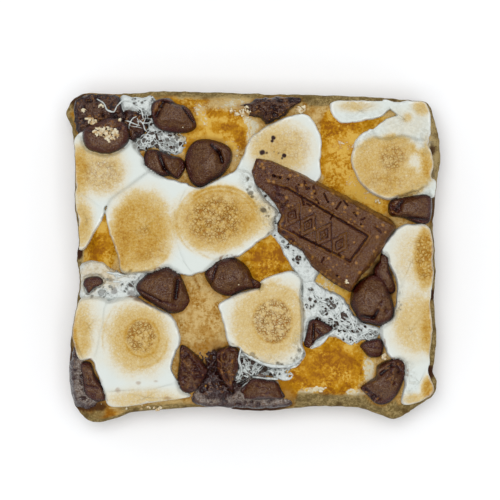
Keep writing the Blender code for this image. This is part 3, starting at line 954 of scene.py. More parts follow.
PUFFS: tuple[Puff, ...] = (
    Puff("marshmallow_01", (-32.0, 19.8), (
        (-39.7, 23.5), (-39.5, 26.2), (-37.7, 27.8), (-32.6, 27.0), (-27.5, 26.6), (-25.5, 24.4),
        (-23.5, 20.9), (-22.6, 19.1), (-26.9, 16.0), (-31.3, 12.9), (-33.7, 11.1), (-35.7, 12.7),
        (-38.6, 14.2), (-39.7, 18.6)), top=24.4),
    Puff("marshmallow_02", (-36.6, 8.0), (
        (-39.4, 13.3), (-37.7, 14.2), (-35.7, 12.7), (-33.3, 10.9), (-33.5, 7.5), (-35.1, 4.9),
        (-37.1, 1.8), (-38.9, 1.6), (-39.1, 4.7), (-38.6, 7.5), (-39.2, 10.9)), top=24.6),
    Puff("marshmallow_03", (-23.6, 6.4), (
        (-22.6, 19.1), (-19.5, 17.5), (-16.9, 16.9), (-14.7, 15.3), (-16.2, 11.8), (-17.3, 7.5),
        (-16.4, 2.7), (-15.1, -1.3), (-13.8, -3.6), (-17.8, -4.2), (-23.1, -4.0), (-28.6, -4.0),
        (-29.7, -0.9), (-30.9, 2.7), (-32.2, 6.7), (-32.4, 10.0), (-31.1, 12.9), (-26.9, 16.0)),
        top=25.6),
    Puff("marshmallow_04", (-6.6, 8.2), (
        (-14.7, 15.3), (-11.5, 15.3), (-8.4, 16.9), (-5.3, 18.2), (-2.0, 19.3), (0.4, 17.8),
        (2.2, 14.7), (4.0, 12.2), (6.2, 9.8), (5.3, 7.5), (5.3, 5.5), (2.2, 3.6), (-2.2, 0.2),
        (-6.7, -1.3), (-10.7, -3.6), (-13.8, -3.6), (-15.8, -0.4), (-17.3, 3.6), (-17.5, 7.5),
        (-16.4, 11.5)), top=25.9),
    Puff("marshmallow_05", (7.4, 23.6), (
        (-2.7, 19.8), (-2.0, 22.6), (-0.4, 26.2), (1.6, 27.8), (3.6, 29.3), (6.0, 30.4),
        (9.3, 31.5), (11.8, 31.7), (13.5, 30.4), (14.7, 28.4), (15.5, 25.3), (15.3, 21.1),
        (15.1, 16.9), (10.7, 15.3), (5.1, 16.1), (0.0, 18.1)), top=24.9),
    Puff("marshmallow_06", (24.0, 32.2), (
        (17.3, 33.5), (18.6, 34.6), (23.3, 34.6), (29.5, 34.4), (30.6, 32.9), (28.9, 31.1),
        (25.8, 30.2), (22.2, 29.5), (19.5, 29.7), (17.8, 31.3)), top=24.0),
    Puff("marshmallow_07", (34.0, 30.4), (
        (30.0, 34.0), (32.9, 34.4), (37.7, 34.6), (39.3, 33.1), (39.9, 30.4), (39.7, 26.9),
        (37.3, 25.4), (33.7, 25.9), (29.7, 25.6), (27.1, 25.8), (26.9, 28.0), (29.7, 30.4),
        (32.2, 31.5), (30.9, 32.6)), top=24.0),
    Puff("marshmallow_08", (31.2, 20.4), (
        (22.2, 23.3), (23.1, 26.0), (25.4, 27.8), (27.8, 27.2), (30.2, 26.8), (34.0, 27.5),
        (37.7, 26.4), (39.5, 24.4), (40.4, 20.6), (39.8, 17.3), (39.7, 14.0), (36.2, 13.3),
        (32.9, 13.1), (30.6, 12.4), (28.6, 12.9), (25.8, 14.4), (23.3, 17.3), (22.0, 20.6)),
        top=25.7),
    Puff("marshmallow_15", (37.0, 14.4), (
        (39.6, 16.4), (40.0, 13.8), (36.2, 12.6), (33.4, 12.8), (34.6, 14.4), (37.0, 15.8)),
        top=23.6),
    Puff("marshmallow_09", (35.4, -1.2), (
        (32.4, 6.2), (34.6, 7.1), (38.9, 6.9), (40.2, 3.6), (40.4, -2.2), (40.0, -7.5),
        (38.9, -9.3), (35.1, -9.8), (32.4, -9.8), (32.2, -6.0), (30.4, -2.0), (28.9, 0.7),
        (29.3, 2.7)), top=25.4),
    Puff("marshmallow_13", (35.2, -16.6), (
        (38.9, -9.1), (39.7, -11.3), (40.2, -15.3), (39.7, -20.9), (38.9, -23.5), (35.5, -24.4),
        (33.3, -24.2), (30.6, -22.6), (29.3, -19.8), (28.2, -17.1), (28.9, -15.3), (31.3, -13.8),
        (32.0, -10.9), (35.1, -9.1)), top=25.3),
    Puff("marshmallow_14", (37.2, -28.0), (
        (38.9, -23.5), (39.3, -26.2), (40.6, -29.1), (40.2, -30.9), (37.5, -32.4), (34.6, -33.3),
        (33.3, -32.4), (34.0, -28.2), (33.3, -24.4), (36.0, -23.3)), top=24.9),
    Puff("marshmallow_10", (-25.0, -19.6), (
        (-26.6, -8.6), (-23.6, -10.2), (-20.8, -11.7), (-18.2, -13.0), (-16.5, -15.5), (-15.8, -19.3),
        (-17.1, -22.0), (-17.8, -25.3), (-16.9, -28.4), (-21.5, -29.7), (-27.1, -30.2),
        (-32.2, -30.6), (-34.2, -27.3), (-35.1, -24.2), (-34.6, -19.8), (-33.5, -15.3),
        (-32.9, -11.1), (-29.7, -9.1)), top=25.4),
    Puff("marshmallow_11", (-36.2, -15.6), (
        (-32.9, -9.1), (-32.9, -12.4), (-33.5, -16.4), (-34.4, -20.9), (-35.7, -22.6),
        (-38.2, -23.3), (-39.3, -20.9), (-40.0, -17.3), (-39.5, -13.3), (-38.4, -9.8),
        (-36.0, -8.7)), top=24.8),
    Puff("marshmallow_16", (-23.4, -31.4), (
        (-32.2, -30.2), (-27.1, -29.7), (-21.5, -29.3), (-16.9, -28.4), (-13.8, -30.9),
        (-14.4, -31.5), (-20.2, -32.4), (-24.9, -33.1), (-30.0, -33.7), (-32.6, -32.9)),
        top=24.9, shoulder=0.9),
    Puff("marshmallow_12", (2.6, -14.6), (
        (-7.5, -10.9), (-5.3, -9.3), (-2.7, -8.0), (1.1, -7.1), (2.2, -5.3), (6.0, -3.8),
        (8.9, -3.3), (11.3, -4.7), (11.1, -7.5), (11.3, -10.9), (11.8, -15.1), (11.3, -19.5),
        (12.0, -22.2), (8.9, -25.3), (3.8, -24.6), (-0.7, -23.1), (-2.9, -20.6), (-5.1, -19.8),
        (-6.2, -16.2), (-6.9, -13.3)), top=25.8),
    Puff("melted_marshmallow_1", (-22.4, 28.4), (
        (-29.5, 35.2), (-25.9, 35.6), (-22.2, 35.4), (-20.0, 33.2), (-15.4, 29.0), (-14.2, 26.6),
        (-14.4, 24.0), (-17.5, 22.2), (-21.5, 23.6), (-23.5, 22.6), (-26.0, 23.4),
        (-27.8, 26.0), (-29.6, 30.8)), top=22.5, shoulder=1.2, foamy=True),
    Puff("melted_marshmallow_2", (-31.6, -5.6), (
        (-38.4, -2.7), (-37.3, -1.3), (-34.9, -0.9), (-33.1, -1.3), (-31.1, -2.7), (-28.9, -3.8),
        (-26.4, -3.8), (-23.4, -3.6), (-23.0, -6.6), (-24.6, -8.8), (-26.6, -10.0), (-29.7, -9.9),
        (-32.9, -9.9), (-36.0, -9.5), (-38.2, -8.9), (-38.9, -6.4)),
        top=23.2, shoulder=1.4, foamy=True),
    Puff("melted_marshmallow_3", (7.2, 5.6), (
        (-1.6, 20.6), (1.0, 19.6), (3.6, 16.4), (7.0, 13.0), (9.2, 10.2), (10.4, 7.2), (12.0, 4.0),
        (14.2, 1.0), (15.4, -1.6), (15.0, -4.2), (12.2, -6.2), (10.4, -4.2), (8.8, -2.6),
        (6.8, 0.6), (4.6, 4.0), (2.6, 8.6), (-0.2, 14.4)), top=23.9, shoulder=1.2, foamy=True),
    Puff("melted_marshmallow_4", (18.6, -14.0), (
        (11.3, -6.0), (13.8, -6.0), (16.2, -7.1), (19.5, -8.4), (21.8, -10.9), (23.3, -13.5),
        (25.8, -15.4), (28.4, -15.8), (28.4, -18.0), (27.5, -19.3), (24.6, -18.9), (21.3, -20.0),
        (19.5, -18.6), (17.3, -18.2), (15.5, -20.0), (12.7, -20.9), (11.5, -19.8), (11.1, -15.8),
        (11.3, -11.8)), top=23.4, shoulder=1.0, foamy=True),
    Puff("melted_marshmallow_5", (2.4, -25.4), (
        (-3.6, -21.3), (-0.4, -22.2), (3.6, -24.0), (7.3, -25.0), (10.7, -23.4), (12.2, -21.3),
        (12.0, -24.8), (9.8, -27.1), (7.1, -27.8), (4.0, -26.9), (0.7, -26.4), (-1.3, -28.6),
        (-3.1, -29.3), (-4.0, -26.4), (-3.8, -23.1)),
        top=23.0, shoulder=0.6, foamy=True, low=21.8),
)

TOAST: tuple[Spot, ...] = (
    Spot(-33.8, 19.4, 6.0, 6.0, 0.36, 0.35), Spot(-38.8, 19.4, 2.2, 5.2, 0.5, 0.6),
    Spot(-37.8, 7.2, 2.6, 5.6, 0.5, 0.6), Spot(-24.8, 5.6, 6.8, 8.8, 0.64, 0.42, -4),
    Spot(-29.6, 3.6, 2.4, 6.6, 0.3, 0.6, -14), Spot(-22.6, 1.2, 4.6, 3.4, 0.16, 0.6),
    Spot(-8.0, 8.2, 9.2, 7.5, 0.52, 0.27, 8), Spot(-8.4, 8.6, 6.2, 5.0, 0.1, 0.4, 12),
    Spot(1.4, 8.8, 4.2, 5.0, 0.3, 0.6), Spot(6.4, 23.8, 7.0, 6.4, 0.36, 0.4),
    Spot(4.4, 23.0, 4.6, 4.2, 0.16, 0.6), Spot(23.0, 33.4, 4.4, 1.4, 0.34, 0.6),
    Spot(38.0, 33.4, 2.4, 2.0, 0.45, 0.6), Spot(34.6, 30.8, 1.0, 1.0, 0.3, 0.8),
    Spot(31.0, 19.8, 9.0, 6.9, 0.52, 0.16, -12), Spot(36.3, 21.3, 1.7, 1.3, -0.5, 0.5, -20),
    Spot(35.0, 20.2, 1.1, 0.9, -0.36, 0.6), Spot(36.9, 19.4, 0.9, 1.4, -0.4, 0.6, 15),
    Spot(36.7, 24.2, 0.6, 0.8, -0.35, 0.6), Spot(39.4, 21.6, 1.9, 4.8, 0.4, 0.5),
    Spot(35.8, 0.0, 4.8, 7.0, 0.3, 0.6), Spot(38.8, -0.4, 2.6, 6.4, 0.62, 0.35),
    Spot(36.4, -15.2, 5.6, 7.0, 0.4, 0.5), Spot(39.4, -16.0, 1.6, 5.6, 0.45, 0.5),
    Spot(39.6, -29.4, 2.0, 2.8, 0.7, 0.45), Spot(36.2, -31.8, 3.0, 1.4, 0.4, 0.6),
    Spot(-25.2, -18.2, 7.3, 8.1, 0.48, 0.44), Spot(-24.9, -18.4, 4.4, 4.6, 0.12, 0.4),
    Spot(-38.4, -17.2, 2.5, 6.2, 0.3, 0.5), Spot(-37.4, -15.4, 3.6, 8.6, 0.26, 0.7),
    Spot(-39.8, -18.2, 0.9, 5.6, 0.6, 0.6), Spot(-24.0, -32.0, 9.0, 2.6, 0.34, 0.6),
    Spot(3.7, -14.2, 9.0, 9.4, 0.42, 0.34), Spot(34.0, 29.6, 5.0, 3.2, 0.14, 0.5),
    Spot(-33.6, -4.0, 6.0, 4.2, 0.48, 0.6), Spot(-15.4, 27.4, 2.6, 2.2, 0.5, 0.5),
)

STAINS: tuple[Spot, ...] = (
    Spot(-31.4, -5.3, 0.6, 0.5, 0.7, 0.4), Spot(-30.7, -7.8, 0.8, 0.8, 1.0, 0.3),
    Spot(-26.7, -8.4, 1.0, 0.8, 1.0, 0.3), Spot(-25.2, -28.2, 0.5, 0.35, 0.6, 0.4),
    Spot(-29.8, -29.8, 0.45, 0.6, 0.6, 0.4), Spot(-21.4, -27.8, 0.45, 0.25, 0.5, 0.4),
    Spot(-35.8, -23.2, 0.5, 0.8, 0.9, 0.3), Spot(-25.0, -9.6, 2.0, 0.6, 0.9, 0.4, -30),
    Spot(-18.6, -31.6, 0.8, 0.4, 0.7, 0.4),
)

CRACKLE: tuple[Spot, ...] = (
    Spot(-8.0, 8.2, 6.0, 5.0, 1.0, 0.3, 12), Spot(4.6, -14.4, 4.2, 4.8, 1.0, 0.12),
    Spot(-24.6, -17.8, 3.2, 3.4, 0.95, 0.15), Spot(31.2, 21.8, 3.0, 3.0, 0.75, 0.3),
    Spot(8.4, 24.4, 4.4, 3.4, 0.3, 0.4), Spot(38.6, 0.0, 2.4, 5.4, 0.8, 0.3),
    Spot(-33.4, 18.6, 4.4, 3.6, 0.5, 0.4), Spot(29.4, 16.4, 4.0, 2.6, 0.4, 0.4),
    Spot(-24.4, 5.6, 1.6, 1.2, 0.5, 0.5), Spot(-22.6, 0.4, 3.4, 1.2, 0.35, 0.5, 20),
)

CHAR: tuple[Spot, ...] = (
    Spot(4.75, 26.3, 0.5, 0.5, 1.0, 0.3), Spot(4.5, 25.5, 0.36, 0.36, 1.0, 0.3),
    Spot(2.3, 23.0, 0.75, 0.62, 1.0, 0.25), Spot(3.3, 22.9, 0.3, 0.3, 0.9, 0.4),
    Spot(7.1, 22.3, 0.52, 0.52, 1.0, 0.25), Spot(6.7, 21.7, 0.26, 0.26, 0.9, 0.4),
    Spot(4.9, 23.1, 0.2, 0.2, 0.6, 0.5), Spot(5.9, 22.8, 0.2, 0.2, 0.6, 0.5),
    Spot(0.4, 27.7, 0.42, 0.5, 1.0, 0.3),
)

BUBBLES: tuple[Bubble, ...] = (
    Bubble(-1.1, 16.7, 0.25), Bubble(-0.9, 14.8, 0.35), Bubble(-0.4, 13.9, 0.55, 0.5),
    Bubble(0.0, 13.0, 0.45, 0.6), Bubble(2.5, 10.4, 0.6), Bubble(3.4, 9.9, 0.3),
    Bubble(3.6, 5.0, 0.36), Bubble(5.3, 4.5, 0.26), Bubble(6.2, 9.8, 0.3), Bubble(5.1, 7.8, 0.45, 0.4),
    Bubble(8.1, 2.3, 0.5), Bubble(10.2, -0.5, 0.75, 0.7), Bubble(9.1, -0.7, 0.42),
    Bubble(17.4, -11.0, 1.3, 0.5), Bubble(13.1, -7.4, 0.75, 0.45), Bubble(12.2, -11.2, 0.5),
    Bubble(16.6, -12.6, 0.55, 0.9), Bubble(20.5, -13.5, 1.0, 0.6), Bubble(20.0, -14.7, 0.7, 1.0),
    Bubble(18.6, -15.2, 0.75, 1.0), Bubble(17.6, -14.2, 0.5, 0.9), Bubble(23.8, -16.4, 0.95, 0.5),
    Bubble(21.8, -18.6, 0.4, 0.9), Bubble(20.3, -19.3, 0.36, 0.9), Bubble(27.3, -17.0, 0.6, 0.4),
    Bubble(25.0, -17.6, 0.5, 0.8), Bubble(14.4, -14.0, 0.5, 0.8), Bubble(15.6, -11.2, 0.3, 0.6),
    Bubble(-1.5, -23.7, 0.85, 0.7), Bubble(0.4, -24.8, 0.6, 0.8), Bubble(2.2, -25.0, 1.5, 0.5),
    Bubble(-0.8, -25.7, 1.1, 1.0), Bubble(-1.8, -27.4, 0.8, 1.0), Bubble(5.5, -25.3, 0.8, 0.4),
    Bubble(4.7, -26.4, 0.55, 0.5), Bubble(7.7, -25.5, 0.85, 0.3), Bubble(9.5, -23.1, 0.42, 0.4),
    Bubble(8.7, -22.6, 0.3, 0.6), Bubble(0.2, -22.6, 0.3, 0.5), Bubble(1.4, -22.9, 0.25, 0.5),
    Bubble(-26.8, -6.5, 0.75, 0.5), Bubble(-32.4, -5.4, 0.4, 0.3), Bubble(-33.3, -8.4, 1.0, 0.2),
    Bubble(-29.0, -6.4, 0.35, 0.5), Bubble(-28.2, -8.0, 0.4, 0.4),
    Bubble(-22.9, 24.4, 0.75, 0.9), Bubble(-21.6, 25.6, 0.55, 0.6), Bubble(-20.6, 24.0, 0.5, 0.5),
    Bubble(-18.8, 25.6, 0.9, 0.4), Bubble(-16.4, 26.4, 1.0, 0.35), Bubble(-14.9, 24.8, 1.0, 0.5),
    Bubble(-17.4, 23.8, 0.5, 0.5), Bubble(-23.6, 27.4, 0.5, 0.9), Bubble(-24.2, 30.2, 0.7, 1.0),
    Bubble(-22.9, 29.4, 0.5, 0.9), Bubble(-25.2, 31.8, 0.5, 0.9), Bubble(-23.6, 31.6, 0.35, 0.8),
    Bubble(-23.0, 28.0, 0.45, 0.9), Bubble(-20.8, 22.8, 0.4, 0.5),
)


@dataclass(frozen=True)
class Froth:
    """A stretch of froth.

    Attributes:
        area: Where it lies. Its strength isn't used.
        count: How many bubbles it has.
        smallest: Smallest radius.
        largest: Largest radius.
        dark: How dark the bottoms are at most.
    """

    area: Spot
    count: int
    smallest: float
    largest: float
    dark: float


FROTH: tuple[Froth, ...] = (
    Froth(Spot(-20.2, 25.4, 6.0, 2.8), 120, 0.35, 0.95, 0.75),
    Froth(Spot(-15.8, 26.2, 2.2, 2.4), 30, 0.35, 0.9, 0.4),
    Froth(Spot(-23.8, 30.6, 2.2, 2.6), 34, 0.25, 0.7, 1.0),
    Froth(Spot(-23.6, 34.6, 3.6, 1.2), 26, 0.2, 0.5, 1.0),
    Froth(Spot(18.4, -13.0, 6.6, 3.2, tilt=-32), 90, 0.16, 0.6, 1.0),
    Froth(Spot(23.6, -17.6, 4.4, 2.0), 50, 0.16, 0.6, 1.0),
    Froth(Spot(14.6, -17.2, 2.4, 2.8), 16, 0.16, 0.4, 1.0),
    Froth(Spot(-0.6, -25.4, 3.6, 3.4), 80, 0.3, 0.95, 1.0),
    Froth(Spot(6.4, -25.6, 5.4, 1.6, tilt=-5), 34, 0.25, 0.75, 0.6),
    Froth(Spot(2.2, 12.6, 1.4, 6.6, tilt=32), 26, 0.15, 0.45, 0.8),
    Froth(Spot(9.6, 1.4, 1.6, 6.6, tilt=35), 30, 0.15, 0.5, 0.7),
    Froth(Spot(-27.0, -6.0, 2.4, 2.4), 22, 0.2, 0.5, 0.5),
    Froth(Spot(-34.4, -7.6, 3.2, 1.6), 12, 0.2, 0.5, 0.3),
    Froth(Spot(10.6, -22.8, 1.6, 2.0), 12, 0.2, 0.5, 0.6),
    Froth(Spot(32.6, -10.4, 0.8, 2.8), 10, 0.15, 0.35, 0.5),
    Froth(Spot(31.0, -7.0, 1.2, 1.6), 12, 0.15, 0.35, 0.6),
)

WEB: tuple[Spot, ...] = (
    Spot(34.0, 29.0, 6.6, 5.2, 0.5, 0.3), Spot(38.6, 25.4, 2.0, 3.0, 0.8, 0.4),
    Spot(24.4, 25.4, 3.0, 2.0, 0.8, 0.4, 40), Spot(24.0, 32.0, 6.6, 2.4, 0.4, 0.3),
    Spot(37.6, 14.4, 3.4, 1.6, 0.8, 0.4), Spot(0.4, 14.4, 2.0, 6.0, 0.8, 0.4, 30),
    Spot(5.6, 7.0, 2.6, 5.0, 0.8, 0.4, 35), Spot(11.0, -20.6, 2.4, 4.4, 1.0, 0.3),
    Spot(4.0, -23.6, 7.0, 1.4, 0.7, 0.4), Spot(11.4, -8.0, 1.2, 4.0, 0.7, 0.4),
    Spot(31.6, -8.0, 2.0, 6.0, 0.7, 0.4), Spot(34.6, -28.0, 2.0, 5.0, 0.7, 0.4),
    Spot(-34.4, 0.0, 4.0, 2.0, 0.5, 0.4), Spot(0.6, 27.4, 2.0, 3.0, 0.7, 0.4),
)


@dataclass(frozen=True)
class Facet:
    """A flat face on a chip, falling away past a line.

    Attributes:
        direction: Way in which it falls, in degrees.
        start: Distance of the line from the chip's middle.
        slope: Fall for each millimetre.
    """

    direction: float
    start: float
    slope: float


@dataclass(frozen=True)
class Fold:
    """A straight crease in a chip, or a ridge where its depth is negative.

    Attributes:
        line: X and Y of its ends.
        width: Half its width.
        depth: Its depth.
    """

    line: Line
    width: float
    depth: float


class Melt(Enum):
    """How a piece of chocolate has melted, with how rough that leaves its skin."""

    FIRM = 0.0
    ROUGH = 1.0
    WET = 0.8


@dataclass
class Chocolate:
    """A chip, or a patch of melted chocolate.

    Attributes:
        node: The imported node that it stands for.
        outline: Its outline, closed.
        top: Height of its crown.
        low: Height of its rim.
        facets: Its flat faces.
        folds: Its creases and ridges.
        melt: How far it has melted.
        round: How steeply its skin curves in from the rim: larger is flatter on top.
        faces: How many random flat faces it has besides.
        rough: Rough patches on its skin.
    """

    node: str
    outline: Outline
    top: float = 24.8
    low: float = 21.6
    facets: tuple[Facet, ...] = ()
    folds: tuple[Fold, ...] = ()
    melt: Melt = Melt.FIRM
    round: float = 2.6
    faces: int = 6
    rough: tuple[Spot, ...] = ()
    loop: Loop = field(init=False)

    def __post_init__(self) -> None:
        """Measures the outline round the middle of its box."""
        corners = np.array(self.outline)
        middle = (corners.min(axis=0) + corners.max(axis=0)) / 2
        self.loop = Loop(self.outline, (float(middle[0]), float(middle[1])))
        self.loop.roughen(*((0.06, 0.04) if self.melt is Melt.FIRM else (0.3, 0.25)))

    def seed(self) -> int:
        """A number of its own for its random relief."""
        return sum(map(ord, self.node))

    def planes(self) -> list[Facet]:
        """Random flat faces all round."""
        random = np.random.default_rng(self.seed())
        reach = self.loop.widest()
        drawn = []
        for number in range(self.faces):
            direction = 360.0 * (number + random.uniform(0.2, 0.8)) / self.faces
            start, slope = reach * random.uniform(0.1, 0.4), random.uniform(0.3, 0.8)
            drawn.append(Facet(direction, start, slope))
        return drawn

    def wrinkles(self, x: Field, y: Field) -> Field:
        """Thin wandering creases, 1 along them and 0 elsewhere."""
        wave = grain(x, y, 0.0, 3.2, self.seed() + 5)
        wave = wave + 0.35 * grain(x, y, 0.0, 1.1, self.seed() + 6)
        return ridge(wave, 0.0, 0.05) * smoothstep(-0.2, 0.4, grain(x, y, 0.0, 2.6, 15))

    def roughness(self, x: Field, y: Field) -> tuple[Field, Field]:
        """How rough its skin is, and how far from the crests of that each place lies."""
        coarse = total_cover(self.rough, x, y) + self.melt.value
        return coarse, np.abs(rough_grain(x, y, 0.0, 1.5, self.seed() + 7))

    def height(self, x: Field, y: Field) -> Field:
        """Height of its skin.

        Args:
            x: Places across the bar.
            y: Places along the bar.

        Returns:
            The heights.
        """
        middle_x, middle_y = self.loop.middle
        across, along = x - middle_x, y - middle_y
        reach = self.loop.radius(np.arctan2(along, across))
        share = np.clip(np.hypot(across, along) / reach, 0.0, 1.0)
        skin = self.low + (self.top - self.low) * (1.0 - share**self.round) ** 0.55
        cuts = [(facet, 0.1, 0.08) for facet in self.facets]
        for facet, lift, blend in cuts + [(facet, 0.0, 0.06) for facet in self.planes()]:
            turn = math.radians(facet.direction)
            past = across * math.cos(turn) + along * math.sin(turn) - facet.start
            face = self.top + lift - facet.slope * past
            skin = -blend * np.logaddexp(-skin / blend, -face / blend)
        for fold in self.folds:
            off = distance_to_line(x, y, fold.line)
            skin = skin - fold.depth * ridge(off, 0.0, fold.width)
        skin = skin - 0.16 * self.wrinkles(x, y)
        skin = skin + 0.10 * grain(x, y, 0.0, 1.6, self.seed())
        coarse, crest = self.roughness(x, y)
        skin = skin + coarse * 0.75 * (0.5 - crest * 1.8)
        return skin + (0.04 + 0.08 * coarse) * grain(x, y, 0.0, 0.45, self.seed() + 3)

    def fields(self, x: Field, y: Field, z: Field) -> dict[str, Field]:
        """Values that drive its colour.

        Args:
            x: Places across the bar.
            y: Places along the bar.
            z: Heights.

        Returns:
            How much painted shade it has, and how flecked it is, at each place.
        """
        inside = self.loop.inside(x, y)
        # Painted shade: a broad warm darkening towards the rim and a thin dark line at the very edge,
        # standing in for the shade on the falling sides and the contact shadow.
        ragged = inside + 0.7 * rough_grain(x, y, z, 1.6, 5)
        rim = 0.55 * smoothstep(1.8, 0.3, ragged) + 0.45 * smoothstep(0.4, 0.05, inside)
        # Painted shade in the creases, the wrinkles and the hollows of rough skin.
        deep = np.zeros(np.shape(x))
        for fold in self.folds:
            if fold.depth > 0:
                off = distance_to_line(x, y, fold.line)
                near = smoothstep(1.4 * fold.width, 0.2 * fold.width, off)
                deep = np.maximum(deep, min(1.0, 0.3 + fold.depth) * near)
        deep = np.maximum(deep, 0.6 * self.wrinkles(x, y))
        coarse, crest = self.roughness(x, y)
        deep = np.maximum(deep, coarse * smoothstep(0.22, 0.55, crest) * 0.8)
        # Where the chocolate is wet, its rough patches are painted darker as shade.
        if self.melt is Melt.WET:
            deep = np.maximum(deep, 0.65 * total_cover(self.rough, x, y))
        fleck = smoothstep(0.62, 0.8, grain(x, y, z, 0.55, 11)) * (0.25 + 0.5 * coarse)
        crests = smoothstep(0.1, 0.02, crest) * smoothstep(0.0, 0.5, grain(x, y, z, 1.3, 12))
        fleck = np.maximum(fleck, 0.7 * coarse * crests)
        fleck = fleck * (0.3 if self.melt is Melt.WET else 1.0)
        return {"shade": np.clip(np.maximum(rim, deep), 0, 1), "fleck": np.clip(fleck, 0, 1)}

    def build(self) -> bpy.types.Object:
        """Makes the piece."""
        mound = Mound(
            self.node + "_skin", self.loop, self.height, self.fields, foot=18.2, tuck=0.2
        )
        return mound.build(held(-0.35))


